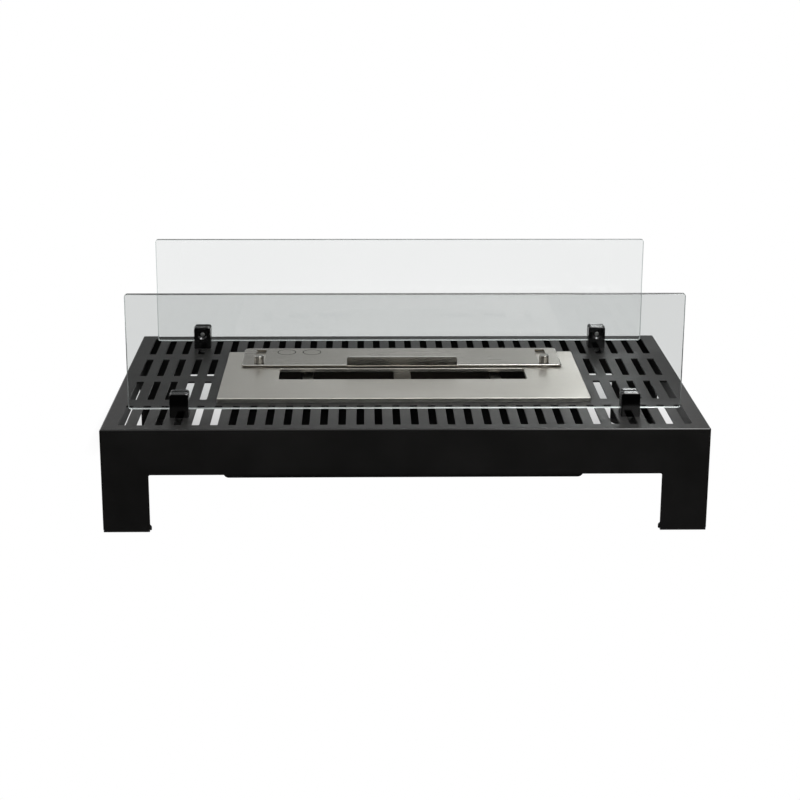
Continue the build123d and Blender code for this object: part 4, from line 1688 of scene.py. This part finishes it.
@dataclass
class Studio:
    """Floor, light by direction and the photograph's camera, in metres and degrees.

    The floor's ramps run along its X and Y, and the world's along a direction's X, Y and Z.
    """

    eye: Place = (-0.041473, -1.683212, 0.62859)
    pitch: float = 14.485
    yaw: float = 1.311
    roll: float = 0.253
    lens: float = 73.4
    shift: float = -0.125
    sensor: float = 36.0
    clip: Point = (0.01, 100.0)
    floor_size: float = 12.0
    floor_drop: float = 0.0005
    floor_near: Colour = (0.008, 0.008, 0.008)
    floor_far: Colour = (0.5, 0.5, 0.5)
    floor_glow: float = 0.4
    floor_behind: Ramp = Ramp(0.05, 0.35, 0.0, 1.0)
    shade_side: Ramp = Ramp(0.29, 0.36, 0.42, 0.0)
    shade_near: Ramp = Ramp(0.05, 0.14, 0.0, 1.0)
    shade_far: Ramp = Ramp(0.16, 0.36, 1.0, 0.0)
    back_left: Ramp = Ramp(-0.5, -0.18, 1.0, 0.0)
    back_middle: Ramp = Ramp(-0.13, 0.03, 0.35, 1.02)
    back_right: Ramp = Ramp(0.05, 0.22, 1.0, 0.3)
    window_side: Ramp = Ramp(0.06, 0.18, 0.35, 4.5)
    window_end: Ramp = Ramp(0.24, 0.3, 1.0, 0.17)
    window_height: Ramp = Ramp(0.1, 0.27, 0.05, 1.0)
    front_share: Ramp = Ramp(-0.3, 0.0, 1.0, 0.0)
    cards: tuple[Card, ...] = (
        Card("overhead", (0.0, -0.15, 2.2), (0.0, 0.0, 0.1), (2.4, 1.8), 14.0),
        Card("far_high", (0.77, 3.0, 1.17), (0.22, -0.15, 0.14), (0.11, 0.26), 0.5),
        Card("far_low", (0.63, 3.0, 0.91), (0.22, 0.15, 0.14), (0.1, 0.2), 0.36),
        Card("front_right", (1.6, -1.8, 0.8), (0.2, -0.2, 0.0), (0.9, 0.9), 4.0),
        Card("top_right", (0.8, -0.45, 2.2), (0.1, -0.15, 0.1), (1.3, 0.9), 34.0),
    )

    def camera(self) -> None:
        """Place the camera at the photograph's view."""
        data = bpy.data.cameras.new("camera")
        data.sensor_width, data.lens, data.shift_y = self.sensor, self.lens, self.shift
        data.clip_start, data.clip_end = self.clip
        pitch, yaw, roll = (math.radians(angle) for angle in (self.pitch, self.yaw, self.roll))
        ahead = Vector((math.sin(yaw) * math.cos(pitch), math.cos(yaw) * math.cos(pitch),
                        -math.sin(pitch)))
        right = Vector((math.cos(yaw), -math.sin(yaw), 0.0))
        up = right.cross(ahead)
        side = math.cos(roll) * right + math.sin(roll) * up
        head = -math.sin(roll) * right + math.cos(roll) * up
        turn = Matrix((side, head, -ahead)).transposed().to_4x4()
        obj = bpy.data.objects.new("camera", data)
        obj.matrix_world = Matrix.Translation(self.eye) @ turn
        bpy.context.scene.collection.objects.link(obj)
        bpy.context.scene.camera = obj

    def seen(self, canvas: Canvas) -> Socket:
        """Tell what the camera sees, straight or straight through glass.

        Args:
            canvas: the floor's or the world's canvas.

        Returns:
            A socket that is 1 there and 0 for every other ray.
        """
        path = canvas.node("ShaderNodeLightPath").outputs
        bounces = canvas.math("ADD", path["Glossy Depth"], path["Diffuse Depth"])
        through = canvas.math("MULTIPLY", path["Is Transmission Ray"], canvas.math("LESS_THAN", bounces, 0.5))
        return canvas.math("MAXIMUM", path["Is Camera Ray"], through)

    def floor(self) -> None:
        """Lay a floor that the camera sees as white paper, with a soft painted shade behind the table.

        Reflections meet it dark in front of the table and pale behind it.
        """
        made = bpy.data.materials.new("paper_floor")
        made.use_nodes = True
        canvas = Canvas(made.node_tree)
        shader = made.node_tree.nodes["Principled BSDF"]
        x, y, _ = canvas.split(canvas.node("ShaderNodeTexCoord").outputs["Object"])
        behind = self.floor_behind.over(canvas, y)
        canvas.feed(shader.inputs["Base Color"], canvas.mix(behind, self.floor_near, self.floor_far))
        canvas.feed(shader.inputs["Emission Strength"], canvas.math("MULTIPLY", behind, self.floor_glow))
        for name, value in (("Specular IOR Level", 0.0), ("Emission Color", WHITE), ("Roughness", 0.9)):
            canvas.feed(shader.inputs[name], value)
        along = canvas.math("MULTIPLY", self.shade_near.over(canvas, y), self.shade_far.over(canvas, y))
        shade = canvas.math("MULTIPLY", self.shade_side.over(canvas, canvas.math("ABSOLUTE", x)), along)
        paper = canvas.node("ShaderNodeEmission", {"Color": WHITE,
                                                   "Strength": canvas.math("SUBTRACT", 1.0, shade)})
        both = canvas.node("ShaderNodeMixShader", {0: self.seen(canvas), 1: shader.outputs[0],
                                                   2: paper.outputs[0]})
        canvas.feed(made.node_tree.nodes["Material Output"].inputs["Surface"], both.outputs[0])
        half = self.floor_size / 2
        corners = ((-half, -half), (half, -half), (half, half), (-half, half))
        bm = bmesh.new()
        bm.faces.new([bm.verts.new((*corner, -self.floor_drop)) for corner in corners])
        mesh = bpy.data.meshes.new("floor")
        bm.to_mesh(mesh)
        bm.free()
        mesh.materials.append(made)
        obj = bpy.data.objects.new("floor", mesh)
        bpy.context.scene.collection.objects.link(obj)

    def world(self) -> None:
        """Fill the room with white for the camera, and with soft light by direction for the rest.

        A bright window stands at the right in front of the table. Its light ends at the side, so that
        it doesn't burn out the steel as seen from behind.
        """
        made = bpy.data.worlds.new("studio")
        bpy.context.scene.world = made
        made.use_nodes = True
        canvas = Canvas(made.node_tree)
        canvas.tree.nodes.clear()
        x, y, z = canvas.split(canvas.node("ShaderNodeTexCoord").outputs["Generated"])
        back = canvas.math("MULTIPLY_ADD", self.back_middle.over(canvas, x), self.back_right.over(canvas, x),
                           self.back_left.over(canvas, x))
        window = canvas.math("MULTIPLY", self.window_side.over(canvas, x), self.window_height.over(canvas, z))
        window = canvas.math("MULTIPLY", window, self.window_end.over(canvas, x))
        share = self.front_share.over(canvas, y)
        front = canvas.math("MULTIPLY", share, window)
        room = canvas.math("MULTIPLY_ADD", canvas.math("SUBTRACT", 1.0, share), back, front)
        seen = self.seen(canvas)
        strength = canvas.math("ADD", canvas.math("MULTIPLY", room, canvas.math("SUBTRACT", 1.0, seen)), seen)
        light = canvas.node("ShaderNodeBackground", {"Color": WHITE, "Strength": strength})
        out = canvas.node("ShaderNodeOutputWorld")
        canvas.feed(out.inputs["Surface"], light.outputs[0])

    def build(self) -> None:
        """Set up camera, floor, world and light cards."""
        self.camera()
        self.floor()
        self.world()
        for card in self.cards:
            data = bpy.data.lights.new(card.name, "AREA")
            data.shape, data.size, data.size_y, data.energy = "RECTANGLE", *card.size, card.watts
            obj = bpy.data.objects.new(card.name, data)
            obj.location = card.place
            aim = Vector(card.aim) - Vector(card.place)
            obj.rotation_mode = "QUATERNION"
            obj.rotation_quaternion = aim.to_track_quat("-Z", "Y")
            obj.visible_camera = False
            bpy.context.scene.collection.objects.link(obj)
        bpy.context.scene.view_settings.view_transform = "Standard"


def main() -> None:
    """Build the studio and every sub-assembly."""
    logging.basicConfig(level=logging.INFO, format="%(name)s: %(message)s")
    for part in (Studio(), TableShell(), Cradle(), Burner(), RegulatorLid(), Screens()):
        LOG.info("building %s", type(part).__name__)
        part.build()


if __name__ == "__main__":
    main()
